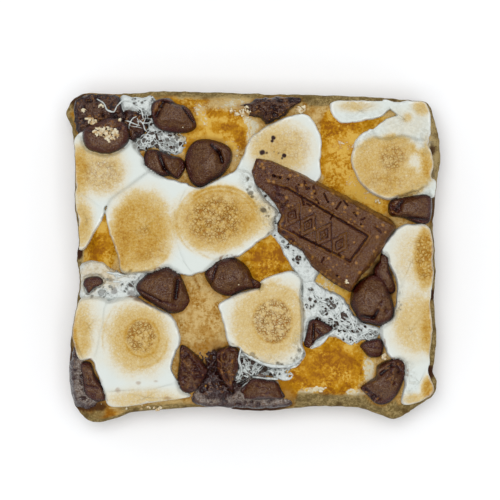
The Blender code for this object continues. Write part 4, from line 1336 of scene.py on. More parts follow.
CHOCOLATES: tuple[Chocolate, ...] = (
    Chocolate("chip_01", (
        (-22.2, 30.2), (-22.4, 33.5), (-20.9, 34.9), (-18.4, 35.1), (-16.9, 34.0), (-14.7, 33.3),
        (-13.1, 31.5), (-12.2, 29.1), (-13.1, 27.8), (-15.1, 27.3), (-18.6, 27.5), (-21.1, 28.4)),
        top=25.0, facets=(Facet(-90, 1.6, 1.1), Facet(60, 3.0, 0.5)),
        folds=(Fold((-21.3, 31.1, -19.9, 33.9), 0.5, 1.2), Fold((-19.9, 34.4, -15.9, 33.6), 0.3, 0.8),
               Fold((-15.9, 33.6, -12.9, 29.6), 0.25, 0.8), Fold((-20.4, 30.2, -14.6, 30.0), 0.5, -0.2)),
        rough=(Spot(-20.6, 33.6, 2.2, 1.8, 0.6, 0.4),)),
    Chocolate("chip_02", (
        (-24.1, 22.1), (-23.6, 23.5), (-21.9, 23.8), (-20.2, 23.3), (-17.5, 22.3), (-15.9, 21.9),
        (-14.9, 20.6), (-15.1, 19.1), (-16.4, 17.2), (-18.5, 17.8), (-20.4, 17.8), (-22.1, 18.7),
        (-23.8, 20.2)),
        top=24.6, facets=(Facet(-60, 1.4, 0.55),),
        folds=(Fold((-20.7, 22.8, -19.5, 19.5), 0.6, 1.0), Fold((-19.5, 19.5, -17.6, 17.6), 0.5, 0.8))),
    Chocolate("chip_03", (
        (-14.9, 21.3), (-14.2, 24.0), (-12.4, 25.8), (-9.8, 26.2), (-7.1, 25.5), (-4.9, 24.2),
        (-4.4, 22.4), (-5.1, 20.0), (-6.9, 17.8), (-9.3, 16.4), (-11.1, 15.3), (-13.1, 16.0),
        (-14.4, 18.2)),
        top=25.9, facets=(Facet(-80, 2.2, 0.5),),
        folds=(Fold((-9.0, 24.6, -7.3, 23.0), 0.5, 0.9), Fold((-7.3, 23.0, -6.6, 20.9), 0.45, 1.5),
               Fold((-8.4, 22.2, -8.0, 19.0), 0.6, -0.4), Fold((-5.9, 22.4, -6.2, 20.4), 0.4, -0.3))),
    Chocolate("chip_04", (
        (-2.9, 33.4), (-0.4, 34.1), (0.8, 34.7), (3.6, 35.4), (6.0, 35.5), (10.4, 35.3),
        (10.8, 34.3), (9.4, 33.5), (8.5, 32.7), (7.7, 31.5), (6.0, 30.6), (4.6, 29.6), (3.2, 29.4),
        (1.9, 30.5), (-0.4, 31.1), (-2.1, 31.7)),
        top=23.9, low=21.4, facets=(Facet(-70, 0.6, 0.5),), melt=Melt.ROUGH),
    Chocolate("chip_05", (
        (30.3, 10.9), (31.4, 12.6), (36.1, 13.5), (39.4, 13.6), (40.1, 12.0), (39.9, 8.8),
        (39.2, 7.3), (36.7, 7.3), (33.9, 8.4), (30.9, 9.0)),
        top=24.4, facets=(Facet(190, 1.6, 0.5), Facet(-60, 1.8, 0.5)),
        folds=(Fold((33.4, 12.2, 32.0, 10.2), 0.6, 0.6), Fold((34.2, 8.6, 39.0, 8.1), 0.5, 0.6)),
        rough=(Spot(31.6, 10.6, 1.6, 2.2, 0.7, 0.4),)),
    Chocolate("chip_06", (
        (-37.6, -6.3), (-36.9, -4.9), (-34.1, -4.6), (-33.1, -5.7), (-33.8, -6.5), (-35.2, -7.2),
        (-36.3, -8.3), (-37.1, -7.2)), top=23.9, low=22.4, round=3.4,
        rough=(Spot(-35.4, -6.3, 1.6, 1.6, 0.4, 0.4),)),
    Chocolate("chip_07", (
        (-25.9, -7.0), (-24.2, -4.6), (-21.4, -3.2), (-18.8, -2.4), (-17.7, -3.0), (-16.3, -3.9),
        (-14.9, -6.3), (-13.7, -10.0), (-14.4, -11.4), (-16.1, -12.6), (-17.9, -12.8), (-19.6, -12.1),
        (-22.1, -10.7), (-24.5, -9.1)),
        top=25.7, facets=(Facet(-120, 2.6, 0.5), Facet(150, 2.2, 0.45)),
        folds=(Fold((-16.5, -5.5, -17.0, -9.3), 0.55, 1.3), Fold((-17.6, -4.4, -18.0, -9.8), 0.5, -0.5),
               Fold((-25.2, -7.4, -20.3, -10.0), 0.3, 0.5), Fold((-20.3, -10.0, -17.0, -11.0), 0.3, 0.3)),
        rough=(Spot(-19.6, -7.4, 1.8, 2.2, 0.35, 0.4),)),
    Chocolate("chip_08", (
        (-10.5, -3.8), (-8.7, -2.0), (-7.2, -0.9), (-4.7, -0.3), (-2.8, -0.9), (-0.8, -2.6),
        (0.4, -5.0), (2.0, -5.9), (1.8, -7.3), (0.3, -7.2), (-2.2, -7.9), (-4.8, -8.9),
        (-6.8, -8.6), (-8.7, -7.5), (-9.8, -5.9)),
        top=25.4, facets=(Facet(-90, 1.8, 0.6),),
        folds=(Fold((-9.2, -6.4, -7.6, -1.6), 0.35, 0.6), Fold((-0.2, -4.6, 0.6, -7.0), 0.35, 0.5),
               Fold((-6.4, -3.4, -2.6, -3.2), 0.8, -0.25))),
    Chocolate("chip_09", (
        (-15.8, -19.8), (-13.1, -21.3), (-10.9, -23.5), (-9.8, -25.5), (-10.9, -28.0), (-12.7, -30.0),
        (-14.9, -30.6), (-16.2, -29.3), (-16.6, -26.9), (-16.2, -23.5)),
        top=24.5, facets=(Facet(0, 1.4, 0.6),), folds=(Fold((-14.6, -21.4, -11.0, -26.0), 0.3, 0.4),),
        rough=(Spot(-13.6, -25.4, 3.4, 5.4, 0.9, 0.3),)),
    Chocolate("chip_10", (
        (-7.9, -21.5), (-6.5, -20.4), (-4.6, -20.1), (-3.0, -21.1), (-2.8, -24.0), (-3.2, -26.1),
        (-4.1, -28.3), (-4.4, -30.1), (-5.9, -28.5), (-7.6, -26.1), (-8.0, -24.0)),
        top=24.4, facets=(Facet(180, 1.2, 0.6),), folds=(Fold((-7.4, -22.6, -5.2, -27.8), 0.3, 0.5),),
        rough=(Spot(-5.2, -24.8, 3.0, 5.2, 0.9, 0.3),)),
    Chocolate("chip_12", (
        (-2.6, -30.1), (-1.0, -28.1), (0.5, -27.2), (3.8, -27.5), (5.5, -28.1), (6.6, -29.9),
        (7.3, -31.6), (3.8, -31.9), (-0.6, -31.9), (-2.4, -31.6)),
        top=23.9, low=21.2, round=3.4,
        folds=(Fold((5.6, -28.4, 7.0, -31.4), 0.25, 0.5), Fold((-1.2, -28.8, -2.4, -31.2), 0.25, 0.4))),
    Chocolate("chip_11", (
        (12.8, -14.4), (15.1, -14.2), (18.0, -16.1), (16.3, -17.5), (13.9, -19.0), (13.1, -20.6),
        (11.6, -19.9), (12.2, -16.7)),
        top=23.8, low=21.8,
        folds=(Fold((13.7, -15.2, 13.6, -19.6), 0.3, 0.8), Fold((14.4, -16.4, 15.4, -17.4), 0.5, 0.5))),
    Chocolate("chip_13", (
        (21.9, -10.6), (22.4, -7.7), (24.1, -5.4), (27.0, -4.0), (29.3, -5.1), (30.8, -8.3),
        (31.7, -11.5), (31.1, -14.1), (28.7, -15.6), (26.4, -15.2), (24.4, -14.7), (23.0, -12.9)),
        top=26.1,
        folds=(Fold((24.4, -13.4, 27.0, -13.7), 0.5, 0.9), Fold((27.0, -13.7, 27.9, -12.2), 0.5, 0.8),
               Fold((26.0, -12.6, 26.8, -12.4), 0.8, -0.3)),
        rough=(Spot(29.6, -11.0, 1.5, 3.0, 0.6, 0.4),)),
    Chocolate("chip_16", (
        (27.0, -3.2), (28.7, -0.6), (28.4, 0.6), (30.2, -0.2), (30.6, -3.0), (32.0, -7.1),
        (31.0, -8.4), (28.6, -6.6)), top=23.8, low=21.8),
    Chocolate("chip_14", (
        (24.1, -19.9), (25.8, -18.7), (28.5, -18.4), (29.3, -20.2), (28.7, -22.2), (26.4, -22.6),
        (24.7, -21.0)), top=23.9, low=22.0, round=3.4, folds=(Fold((25.4, -20.0, 28.8, -20.6), 0.3, 0.3),)),
    Chocolate("chip_17", (
        (27.9, -24.5), (29.9, -23.4), (32.5, -22.8), (34.0, -23.9), (34.0, -26.8), (32.8, -30.0),
        (31.1, -32.3), (29.3, -33.1), (27.3, -32.6), (25.6, -30.9), (24.1, -29.4), (25.8, -28.0),
        (27.6, -26.6)),
        top=24.6, facets=(Facet(-60, 2.6, 0.5),),
        folds=(Fold((31.1, -24.2, 28.7, -26.2), 0.5, 0.8), Fold((25.0, -29.2, 28.4, -32.0), 0.4, 0.5)),
        rough=(Spot(31.6, -26.2, 2.2, 2.6, 1.0, 0.4), Spot(27.0, -30.6, 2.6, 2.0, 1.0, 0.4))),
    Chocolate("chip_15", (
        (-38.3, -24.3), (-37.6, -23.6), (-35.9, -23.8), (-35.0, -26.1), (-33.8, -28.2), (-32.7, -30.6),
        (-32.7, -32.2), (-34.7, -32.4), (-36.6, -31.5), (-37.6, -29.4), (-37.8, -26.6)),
        top=23.9, low=21.4, folds=(Fold((-37.2, -28.6, -34.2, -29.4), 0.3, 0.4),),
        rough=(Spot(-36.4, -26.4, 1.2, 1.8, 0.6, 0.4),)),
    Chocolate("chocolate_disc", (
        (-37.7, 27.2), (-36.9, 24.2), (-34.9, 23.1), (-32.6, 22.7), (-30.3, 23.1), (-28.0, 24.6),
        (-27.3, 26.3), (-27.6, 28.7), (-29.1, 30.1), (-31.8, 30.7), (-34.7, 29.7), (-36.7, 28.7)),
        top=26.0, low=23.9, round=4.5, faces=0, facets=(Facet(-90, 0.4, 0.2),),
        folds=(Fold((-36.4, 27.8, -33.6, 27.4), 0.5, 0.5), Fold((-33.6, 27.4, -29.2, 28.4), 0.6, 0.5),
               Fold((-37.0, 26.6, -32.4, 24.6), 0.9, -0.3)),
        rough=(Spot(-31.6, 29.2, 3.6, 1.5, 0.8, 0.4),)),
    Chocolate("melted_chocolate_back_left", (
        (-39.3, 34.9), (-34.9, 36.1), (-30.9, 35.9), (-29.2, 34.6), (-28.6, 31.4), (-30.6, 29.4),
        (-35.0, 28.2), (-37.6, 26.8), (-39.0, 27.6), (-39.6, 30.4)),
        top=23.4, low=21.4, melt=Melt.ROUGH, round=4.0),
    Chocolate("melted_chocolate_back", (
        (-29.4, 31.6), (-27.4, 32.6), (-25.0, 31.6), (-23.2, 29.8), (-24.0, 27.2), (-26.4, 25.8),
        (-28.0, 26.4), (-28.8, 28.8)),
        top=23.3, low=21.6, melt=Melt.ROUGH, round=3.5),
    Chocolate("melted_chocolate_left", (
        (-39.6, -19.6), (-38.4, -20.6), (-37.8, -24.0), (-35.4, -27.0), (-33.4, -30.5),
        (-32.4, -33.2), (-35.6, -34.2), (-38.6, -33.6), (-40.2, -31.2), (-40.8, -27.0),
        (-40.5, -23.0)),
        top=21.8, low=18.4, melt=Melt.WET, round=4.0, faces=0),
    Chocolate("melted_chocolate_front", (
        (-13.5, -31.5), (-14.0, -26.0), (-12.8, -20.3), (-8.5, -19.2), (-4.5, -19.8),
        (-2.6, -22.0), (4.0, -26.4), (8.0, -28.6), (9.2, -31.4), (8.0, -33.6), (0.0, -34.0),
        (-7.0, -33.8), (-12.0, -33.0)),
        top=21.2, low=19.4, melt=Melt.WET, round=4.5, faces=0,
        rough=(Spot(-7.6, -25.6, 6.6, 6.4, 0.9, 0.15),)),
)


def near_chocolate(x: Field, y: Field) -> Field:
    """Distance from the rim of the nearest chocolate, negative inside it."""
    return -np.maximum.reduce([piece.loop.inside(x, y) for piece in CHOCOLATES])


@dataclass
class WhiteSheet:
    """All the marshmallow and melted marshmallow, run together into one rolling sheet.

    Attributes:
        puffs: Its pieces.
        chocolates: The chocolate that lies in it.
        merge: How far touching pieces reach into each other.
        blend: Width over which one piece gives way to the next.
        groove: Depth of the seam between two.
        slump: How much wider the shoulder is beside melted marshmallow.
        moat_depth: Depth of the hollow round the chocolate.
        moat_width: Its width.
        clearance: Gap below a chip that lies on the sheet.
        foot: Height of the underside.
        step: Distance between the rings of a marshmallow.
        foam_step: The same in melted marshmallow.
        bubbles: The burst bubbles.
    """

    puffs: tuple[Puff, ...] = PUFFS
    chocolates: tuple[Chocolate, ...] = CHOCOLATES
    merge: float = 1.2
    blend: float = 0.5
    groove: float = 0.11
    slump: float = 1.2
    moat_depth: float = 0.7
    moat_width: float = 0.5
    clearance: float = 0.5
    foot: float = 17.2
    step: float = 0.215
    foam_step: float = 0.172
    bubbles: list[Bubble] = field(default_factory=list)

    def __post_init__(self) -> None:
        """Runs touching puffs into each other and scatters the small bubbles."""
        shared = [self.shared_rim(puff) for puff in self.puffs]
        for puff, (angles, amount) in zip(self.puffs, shared):
            puff.loop.spread(
                lambda angle, a=angles, m=amount: np.interp(angle, a, m, period=2 * math.pi)
            )
        self.bubbles = list(BUBBLES)
        for seed, froth in enumerate(FROTH):
            self.bubbles += self.scatter(froth, seed)

    def shared_rim(self, puff: Puff) -> tuple[Field, Field]:
        """Finds where a puff's rim meets another puff.

        Args:
            puff: The puff.

        Returns:
            Directions, and how far to move the rim out in each.
        """
        angles = np.linspace(-math.pi, math.pi, 180, endpoint=False)
        reach = puff.loop.radius(angles)
        x = puff.middle[0] + reach * np.cos(angles)
        y = puff.middle[1] + reach * np.sin(angles)
        touching = np.zeros(len(angles))
        for other in self.puffs:
            if other is not puff and other.foamy == puff.foamy:
                touching = np.maximum(touching, smoothstep(-1.1, -0.3, other.loop.inside(x, y)))
        window = np.array([1.0, 2.0, 3.0, 2.0, 1.0]) / 9.0
        wrapped = np.concatenate([touching[-2:], touching, touching[:2]])
        return angles, self.merge * np.convolve(wrapped, window, "valid")

    @staticmethod
    def scatter(froth: Froth, seed: int) -> list[Bubble]:
        """Draws the bubbles of a stretch of froth.

        Args:
            froth: The stretch.
            seed: Which random draw.

        Returns:
            The bubbles.
        """
        random = np.random.default_rng(seed)
        spread, drawn = froth.largest - froth.smallest, []
        for _ in range(froth.count):
            x, y, _ = froth.area.place(random)
            radius = froth.smallest + spread * random.uniform(0, 1) ** 1.6
            drawn.append(Bubble(x, y, radius, froth.dark * random.uniform(0.2, 1.0)))
        return drawn

    def pits(self, x: Field, y: Field) -> tuple[Field, Field]:
        """How deep and how dark the burst bubbles are; the darkness is painted shade in the hollows, partly
        what lies below showing through. Crowded ones keep thin walls between them.

        Args:
            x: Places across the bar.
            y: Places along the bar.

        Returns:
            Depth from 0 to 1, and darkness from 0 to 1.
        """
        best, second = np.full(np.shape(x), -9.0), np.full(np.shape(x), -9.0)
        dark = np.zeros(np.shape(x))
        warp_x = x + 0.3 * grain(x, y, 0.0, 1.0, 31)
        warp_y = y + 0.3 * grain(x, y, 0.0, 1.0, 37)
        low_x, high_x, low_y, high_y = x.min() - 2, x.max() + 2, y.min() - 2, y.max() + 2
        for bubble in self.bubbles:
            if not (low_x < bubble.x < high_x and low_y < bubble.y < high_y):
                continue
            depth = bubble.radius - np.hypot(warp_x - bubble.x, warp_y - bubble.y)
            first = depth > best
            second = np.where(first, best, np.maximum(second, depth))
            dark = np.where(first, bubble.dark, dark)
            best = np.maximum(best, depth)
        hole = smoothstep(-0.05, 0.2, best) * smoothstep(0.03, 0.2, best - second)
        strand = smoothstep(0.02, 0.08, np.abs(rough_grain(x, y, 0.0, 2.2, 33)))
        hole = hole * (0.2 + 0.8 * strand)
        return hole, hole * dark * smoothstep(0.0, 0.35, best + 0.1 * dark)

    def skin(self, own: Puff, x: Field, y: Field) -> Field:
        """Height of one puff's skin, which dips under its neighbours where they take over.

        Args:
            own: The puff.
            x: Places across the bar.
            y: Places along the bar.

        Returns:
            The heights.
        """
        mine = own.loop.inside(x, y)
        alike = [puff for puff in self.puffs if puff.foamy == own.foamy]
        depths = np.array([mine if puff is own else puff.loop.inside(x, y) for puff in alike])
        two, one = np.sort(depths, axis=0)[-2:]
        shares = np.exp((depths - one) / self.blend)
        shares = shares / shares.sum(axis=0)
        crowns = np.array([puff.crown(depth) for puff, depth in zip(alike, depths)])
        low = np.tensordot([puff.low for puff in alike], shares, 1)
        shoulder = np.tensordot([puff.shoulder for puff in alike], shares, 1)
        if not own.foamy:
            foam = np.maximum.reduce([puff.loop.inside(x, y) for puff in self.puffs if puff.foamy])
            shoulder = shoulder + self.slump * smoothstep(-1.5, 0.5, foam)
        curve = np.sqrt(1.0 - (1.0 - np.clip(one / shoulder, 0.0, 1.0)) ** 2.5)
        sheet = low - 0.35 + ((shares * crowns).sum(axis=0) - low) * curve
        sunk = one - mine
        sheet = sheet - 0.06 * sunk - 0.5 * np.clip(sunk - 0.4, 0.0, 6.0)
        broken = smoothstep(-0.5, 0.3, grain(x, y, 0.0, 4.5, 7))
        sheet = sheet - self.groove * broken * ridge(one - two, 0.0, 0.7)
        sheet = sheet + 0.22 * grain(x, y, 0.0, 5.5, 3) + 0.05 * grain(x, y, 0.0, 1.6, 4)
        toast = self.toast(x, y)
        sheet = sheet + 0.05 * toast * rough_grain(x, y, 0.0, 0.8, 6)
        sheet = sheet + self.ripples(x, y)
        web = total_cover(WEB, x, y)
        sheet = sheet - web * 0.5 * np.abs(rough_grain(x, y, 0.0, 1.5, 47))
        near = near_chocolate(x, y)
        moat = ridge(np.maximum(near, 0.0), 0.0, self.moat_width)
        sheet = sheet - self.moat_depth * moat
        depth, dark = self.pits(x, y)
        return self.pressed(sheet - depth * (0.35 + 0.5 * dark), x, y)

    def pressed(self, sheet: Field, x: Field, y: Field) -> Field:
        """Keeps the sheet under the chips that lie on it.

        Args:
            sheet: Heights of the sheet.
            x: Places across the bar.
            y: Places along the bar.

        Returns:
            The heights, no higher than just below a chip's skin.
        """
        sheet = sheet.copy()
        for piece in self.chocolates:
            under = (piece.loop.inside(x, y) > 0) & (piece.melt is Melt.FIRM)
            if under.any():
                skin = piece.height(x[under], y[under])
                sheet[under] = np.minimum(sheet[under], skin - self.clearance)
        return sheet

    @staticmethod
    def ripples(x: Field, y: Field) -> Field:
        """Folds that run round the crowns where the skin sank."""
        wobble = 0.02 * grain(x, y, 0.0, 3.0, 8)
        return -sum(ring.depth * ring.line(x, y, 1.0, wobble) for ring in RIPPLES)

    @staticmethod
    def toast(x: Field, y: Field) -> Field:
        """How toasted the skin is, from 0 to 1."""
        wobble = 0.05 * grain(x, y, 0.0, 2.4, 21) + 0.03 * grain(x, y, 0.0, 0.9, 22)
        toast = total_cover(TOAST, x, y, wobble)
        for ring in RIPPLES:
            toast = toast + ring.tint * ring.line(x, y, 1.3)
        return np.clip(toast, 0.0, 1.0)

    def fields(self, own: Puff, x: Field, y: Field, z: Field) -> dict[str, Field]:
        """Values that drive the colour of the sheet.

        Args:
            own: The puff.
            x: Places across the bar.
            y: Places along the bar.
            z: Heights.

        Returns:
            The named fields.
        """
        depth, dark = self.pits(x, y)
        near = near_chocolate(x, y)
        ragged = grain(x, y, z, 0.9, 41) * 0.5 + grain(x, y, z, 0.4, 42) * 0.3
        specks = smoothstep(0.25, 0.5, grain(x, y, z, 0.5, 42)) * smoothstep(1.0, 0.4, near)
        stain = specks * smoothstep(-0.1, 0.4, grain(x, y, z, 3.2, 43))
        toast = self.toast(x, y)
        alike = [puff for puff in self.puffs if puff.foamy == own.foamy]
        within = np.maximum.reduce([puff.loop.inside(x, y) for puff in alike])
        stain = np.maximum(stain, total_cover(STAINS, x, y, 0.6 * ragged))
        return {
            "toast": toast,
            # Painted light near the outline of the sheet.
            "rim": smoothstep(0.8, 0.1, within + 0.5 * ragged) * (1.0 - 0.7 * toast),
            "crackle": total_cover(CRACKLE, x, y, 0.08 * grain(x, y, 0.0, 1.2, 44)),
            "char": total_cover(CHAR, x, y, 0.2 * grain(x, y, 0.0, 0.5, 45)),
            # Painted shade in the bubble hollows; deep is partly what lies below showing through.
            "pit": depth * (0.35 + 0.65 * dark),
            "deep": dark,
            "stain": 0.7 * stain,
            "web": total_cover(WEB, x, y, 0.15 * grain(x, y, 0.0, 1.6, 46)),
        }

    def build(self, marshmallow: bpy.types.Material, foam: bpy.types.Material) -> None:
        """Makes every puff.

        Args:
            marshmallow: Finish of the marshmallows.
            foam: Finish of the melted patches.
        """
        for puff in self.puffs:
            mound = Mound(
                puff.node + "_skin",
                puff.loop,
                lambda x, y, own=puff: self.skin(own, x, y),
                lambda x, y, z, own=puff: self.fields(own, x, y, z),
                foot=self.foot,
                step=self.foam_step if puff.foamy else self.step,
            )
            obj = mound.build(held(0.1))
            finish = foam if puff.foamy else marshmallow
            slot = SlotName.FOAM if puff.foamy else SlotName.MARSHMALLOW
            place_piece(obj, finish, slot, puff.node)


@dataclass(frozen=True)
class Ripple:
    """A fold that runs part of the way round a crown.

    Attributes:
        x: Middle of the oval that it follows, across the bar.
        y: The same along the bar.
        rx: The oval's half width.
        ry: The oval's half depth.
        start: Direction in which it starts, in degrees.
        end: Direction in which it ends.
        width: Half its width.
        depth: Its depth.
        tint: How much more toasted it is.
    """

    x: float
    y: float
    rx: float
    ry: float
    start: float
    end: float
    width: float
    depth: float
    tint: float

    def line(self, x: Field, y: Field, wider: float, wobble: Field | float = 0.0) -> Field:
        """Strength of the fold, with soft ends.

        Args:
            x: Places across the bar.
            y: Places along the bar.
            wider: How many times its width it is taken to be.
            wobble: Share of the oval by which it wanders in.

        Returns:
            1 along the fold and 0 elsewhere.
        """
        reach = np.hypot((x - self.x) / self.rx, (y - self.y) / self.ry) + wobble
        band = ridge((reach - 1.0) * self.rx, 0.0, self.width * wider)
        direction = np.degrees(np.arctan2(y - self.y, x - self.x))
        middle, half = (self.start + self.end) / 2, (self.end - self.start) / 2
        off = np.abs((direction - middle + 180.0) % 360.0 - 180.0)
        return band * smoothstep(half + 12.0, half - 12.0, off)


RIPPLES: tuple[Ripple, ...] = (
    Ripple(-7.0, 8.0, 8.6, 7.4, 20, 140, 0.3, 0.12, 0.30),
    Ripple(-7.0, 8.2, 7.6, 6.3, 10, 150, 0.25, 0.08, 0.16),
    Ripple(-6.8, 7.6, 10.0, 8.7, 130, 230, 0.2, 0.10, 0.12),
    Ripple(-6.4, 7.4, 8.8, 8.4, 230, 320, 0.25, 0.08, 0.14),
    Ripple(-24.6, 6.0, 7.4, 9.4, 200, 330, 0.22, 0.06, 0.10),
    Ripple(-24.4, -18.2, 3.8, 4.2, -160, 180, 0.22, 0.08, 0.16),
    Ripple(-24.2, -18.4, 9.0, 9.8, 130, 200, 0.18, 0.10, 0.10),
    Ripple(-24.6, -19.2, 5.6, 5.4, 260, 360, 0.22, 0.06, 0.12),
    Ripple(4.6, -14.4, 4.4, 4.9, -180, 180, 0.2, 0.08, 0.14),
    Ripple(4.2, -14.2, 7.6, 7.8, 10, 120, 0.25, 0.06, 0.10),
    Ripple(31.4, 20.2, 9.4, 7.6, 170, 300, 0.25, 0.10, 0.16),
    Ripple(7.0, 22.6, 7.6, 7.6, 0, 140, 0.3, 0.05, 0.06),
)


def beyond(x: Field, y: Field, line: Line) -> Field:
    """How far places lie to the left of a line that runs from its first end to its second.

    Args:
        x: Places across the bar.
        y: Places along the bar.
        line: X and Y of its ends.

    Returns:
        The distances, negative to the right.
    """
    x0, y0, x1, y1 = line
    length = math.hypot(x1 - x0, y1 - y0)
    return ((y - y0) * (x1 - x0) - (x - x0) * (y1 - y0)) / length


@dataclass(frozen=True)
class Chamfer:
    """An edge of the moulded piece that falls away past a line.

    Attributes:
        line: X and Y of its ends. The edge lies to its left.
        width: How far past the line it has fallen by its drop.
        drop: That fall.
    """

    line: Line
    width: float
    drop: float


@dataclass
class ChocolatePiece:
    """The broken piece of moulded chocolate, with a sunken panel and a row of lozenges."""

    node: str = "chocolate_piece"
    middle: Pair = (14.6, 6.2)
    corners: Outline = (
        (0.9, 21.7), (3.8, 21.3), (7.3, 19.9), (11.3, 18.2), (15.2, 16.3), (18.3, 14.7),
        (22.2, 12.8), (26.6, 10.5), (31.2, 8.0), (32.0, 6.6), (30.2, 3.6), (28.0, 0.2),
        (26.6, -2.2), (24.4, -4.2), (22.4, -7.3), (21.8, -8.0), (19.5, -6.9), (17.0, -5.3),
        (13.9, -3.0), (11.9, -0.4), (11.2, 0.9), (9.0, 2.4), (6.8, 4.1), (5.7, 5.4),
        (5.7, 7.2), (6.6, 9.0), (5.1, 11.6), (2.9, 14.1), (0.6, 16.0), (0.0, 18.7),
    )
    panel: Outline = ((20.1, -3.6), (26.0, 4.4), (8.0, 15.2), (2.6, 16.4), (-1.0, 10.0), (3.0, 8.0))
    top: float = 26.3
    foot: float = 20.9
    panel_depth: float = 0.35
    lozenges: int = 4
    lozenge_first: Pair = (19.4, 2.6)
    lozenge_slope: float = 149.0
    lozenge_pitch: float = 4.1
    lozenge_half: Pair = (1.95, 3.1)
    lozenge_rise: float = 0.45
    chamfers: tuple[Chamfer, ...] = (
        Chamfer((12.0, 16.9, 31.6, 6.4), 0.7, 1.3),
        Chamfer((22.4, -6.8, 9.4, 3.4), 1.2, 0.9),
        Chamfer((30.8, 7.0, 22.4, -6.6), 0.8, 0.6),
    )
    cracks: tuple[Line, ...] = (
        (18.7, 10.5, 19.7, 12.0), (17.4, 8.2, 18.0, 9.4), (20.4, 12.2, 21.2, 11.2),
        (11.1, 12.9, 11.5, 11.4), (12.2, 11.6, 13.0, 11.2), (4.6, 17.8, 6.4, 17.2),
        (22.6, 9.6, 23.2, 8.8), (24.2, 8.0, 25.0, 8.4), (27.4, 6.4, 28.6, 5.2),
        (9.8, 15.4, 10.2, 14.2), (14.2, 12.6, 14.8, 11.6), (11.6, 16.6, 12.2, 14.8),
        (13.6, 15.4, 14.0, 13.8), (16.0, 13.8, 16.6, 12.4), (4.4, 12.4, 6.0, 12.0),
        (6.4, 10.8, 8.0, 12.2), (5.4, 13.8, 7.0, 13.4), (15.4, -1.4, 15.9, -0.4),
    )
    holes: tuple[Bubble, ...] = (
        Bubble(4.8, 17.8, 0.34), Bubble(6.2, 17.4, 0.3), Bubble(8.0, 17.0, 0.3),
        Bubble(12.6, 15.0, 0.26), Bubble(16.9, 12.0, 0.26), Bubble(18.9, -4.4, 0.3),
        Bubble(24.2, 7.0, 0.2), Bubble(3.0, 18.6, 0.2), Bubble(10.4, 15.8, 0.2),
    )
    fleck_count: int = 110
    fleck_sizes: Pair = (0.12, 0.42)
    crack_depth: float = 0.45
    hole_depth: float = 0.5
    step: float = 0.18

    def __post_init__(self) -> None:
        """Measures the outline and scatters the flecks."""
        self.loop = Loop(self.corners, self.middle, curved=False)
        self.loop.roughen(0.12, 0.14)
        random = np.random.default_rng(3)
        self.flecks: list[Bubble] = []
        while len(self.flecks) < self.fleck_count:
            x, y = random.uniform(0.0, 32.0), random.uniform(-8.0, 21.5)
            inside = float(self.loop.inside(np.array(x), np.array(y)))
            in_panel = float(self.panel_inside(np.array(x), np.array(y))) > 0.2
            if inside > 0.2 and (not in_panel or random.uniform() < 0.25):
                small, large = self.fleck_sizes
                size = small + (large - small) * random.uniform() ** 2
                self.flecks.append(Bubble(x, y, size))

    def panel_inside(self, x: Field, y: Field) -> Field:
        """Distance inside the panel's straight sides, negative outside them."""
        nearest = np.full(np.shape(x), 99.0)
        for start, end in zip(self.panel, self.panel[1:] + self.panel[:1]):
            nearest = np.minimum(nearest, beyond(x, y, (*start, *end)))
        return nearest

    def lozenge_reach(self, x: Field, y: Field) -> Field:
        """Distance from the nearest lozenge's middle, as a share of its half diagonals."""
        turn = math.radians(self.lozenge_slope)
        nearest = np.full(np.shape(x), 99.0)
        for number in range(self.lozenges):
            middle_x = self.lozenge_first[0] + number * self.lozenge_pitch * math.cos(turn)
            middle_y = self.lozenge_first[1] + number * self.lozenge_pitch * math.sin(turn)
            along = (x - middle_x) * math.cos(turn) + (y - middle_y) * math.sin(turn)
            across = (y - middle_y) * math.cos(turn) - (x - middle_x) * math.sin(turn)
            reach = np.abs(along) / self.lozenge_half[0] + np.abs(across) / self.lozenge_half[1]
            nearest = np.minimum(nearest, reach)
        return nearest + 0.03 * grain(x, y, 0.0, 0.7, 59)

    def broken(self, x: Field, y: Field) -> Field:
        """How crumbled the moulding is: 1 at the broken end and 0 at the whole one."""
        return smoothstep(9.5, 4.0, x + 0.3 * y - 4.0)

    def height(self, x: Field, y: Field) -> Field:
        """Height of the moulded face.

        Args:
            x: Places across the bar.
            y: Places along the bar.

        Returns:
            The heights.
        """
        worn = 0.2 * grain(x, y, 0.0, 1.2, 51)
        inside = np.maximum(self.loop.inside(x, y) + worn, 0.0)
        face = self.top - 0.8 * smoothstep(0.6, 0.0, inside)
        for edge in self.chamfers:
            past = beyond(x, y, edge.line) + 0.15 * grain(x, y, 0.0, 1.6, 52)
            face = face - edge.drop * np.clip(past / edge.width, 0.0, 1.6)
        sunk = self.panel_inside(x, y)
        sharp = 1.0 - 0.7 * self.broken(x, y)
        face = face - self.panel_depth * smoothstep(0.0, 0.3, sunk) * sharp
        face = face - 0.4 * ridge(sunk, 0.22, 0.2) * sharp
        face = face + 0.22 * ridge(sunk, -0.35, 0.3) * sharp
        reach = self.lozenge_reach(x, y)
        band = smoothstep(1.04, 0.92, reach) * smoothstep(0.5, 0.62, reach)
        face = face + self.lozenge_rise * np.maximum(band, smoothstep(0.26, 0.16, reach)) * sharp
        for crack in self.cracks:
            off = distance_to_line(x, y, crack)
            face = face - self.crack_depth * ridge(off, 0.0, 0.16)
        for hole in self.holes:
            off = np.hypot(x - hole.x, y - hole.y) / hole.radius
            face = face - self.hole_depth * smoothstep(1.1, 0.6, off)
        face = face - self.broken(x, y) * 0.5 * np.abs(rough_grain(x, y, 0.0, 1.8, 53))
        return face + 0.12 * grain(x, y, 0.0, 1.7, 54) + 0.06 * grain(x, y, 0.0, 0.6, 55)

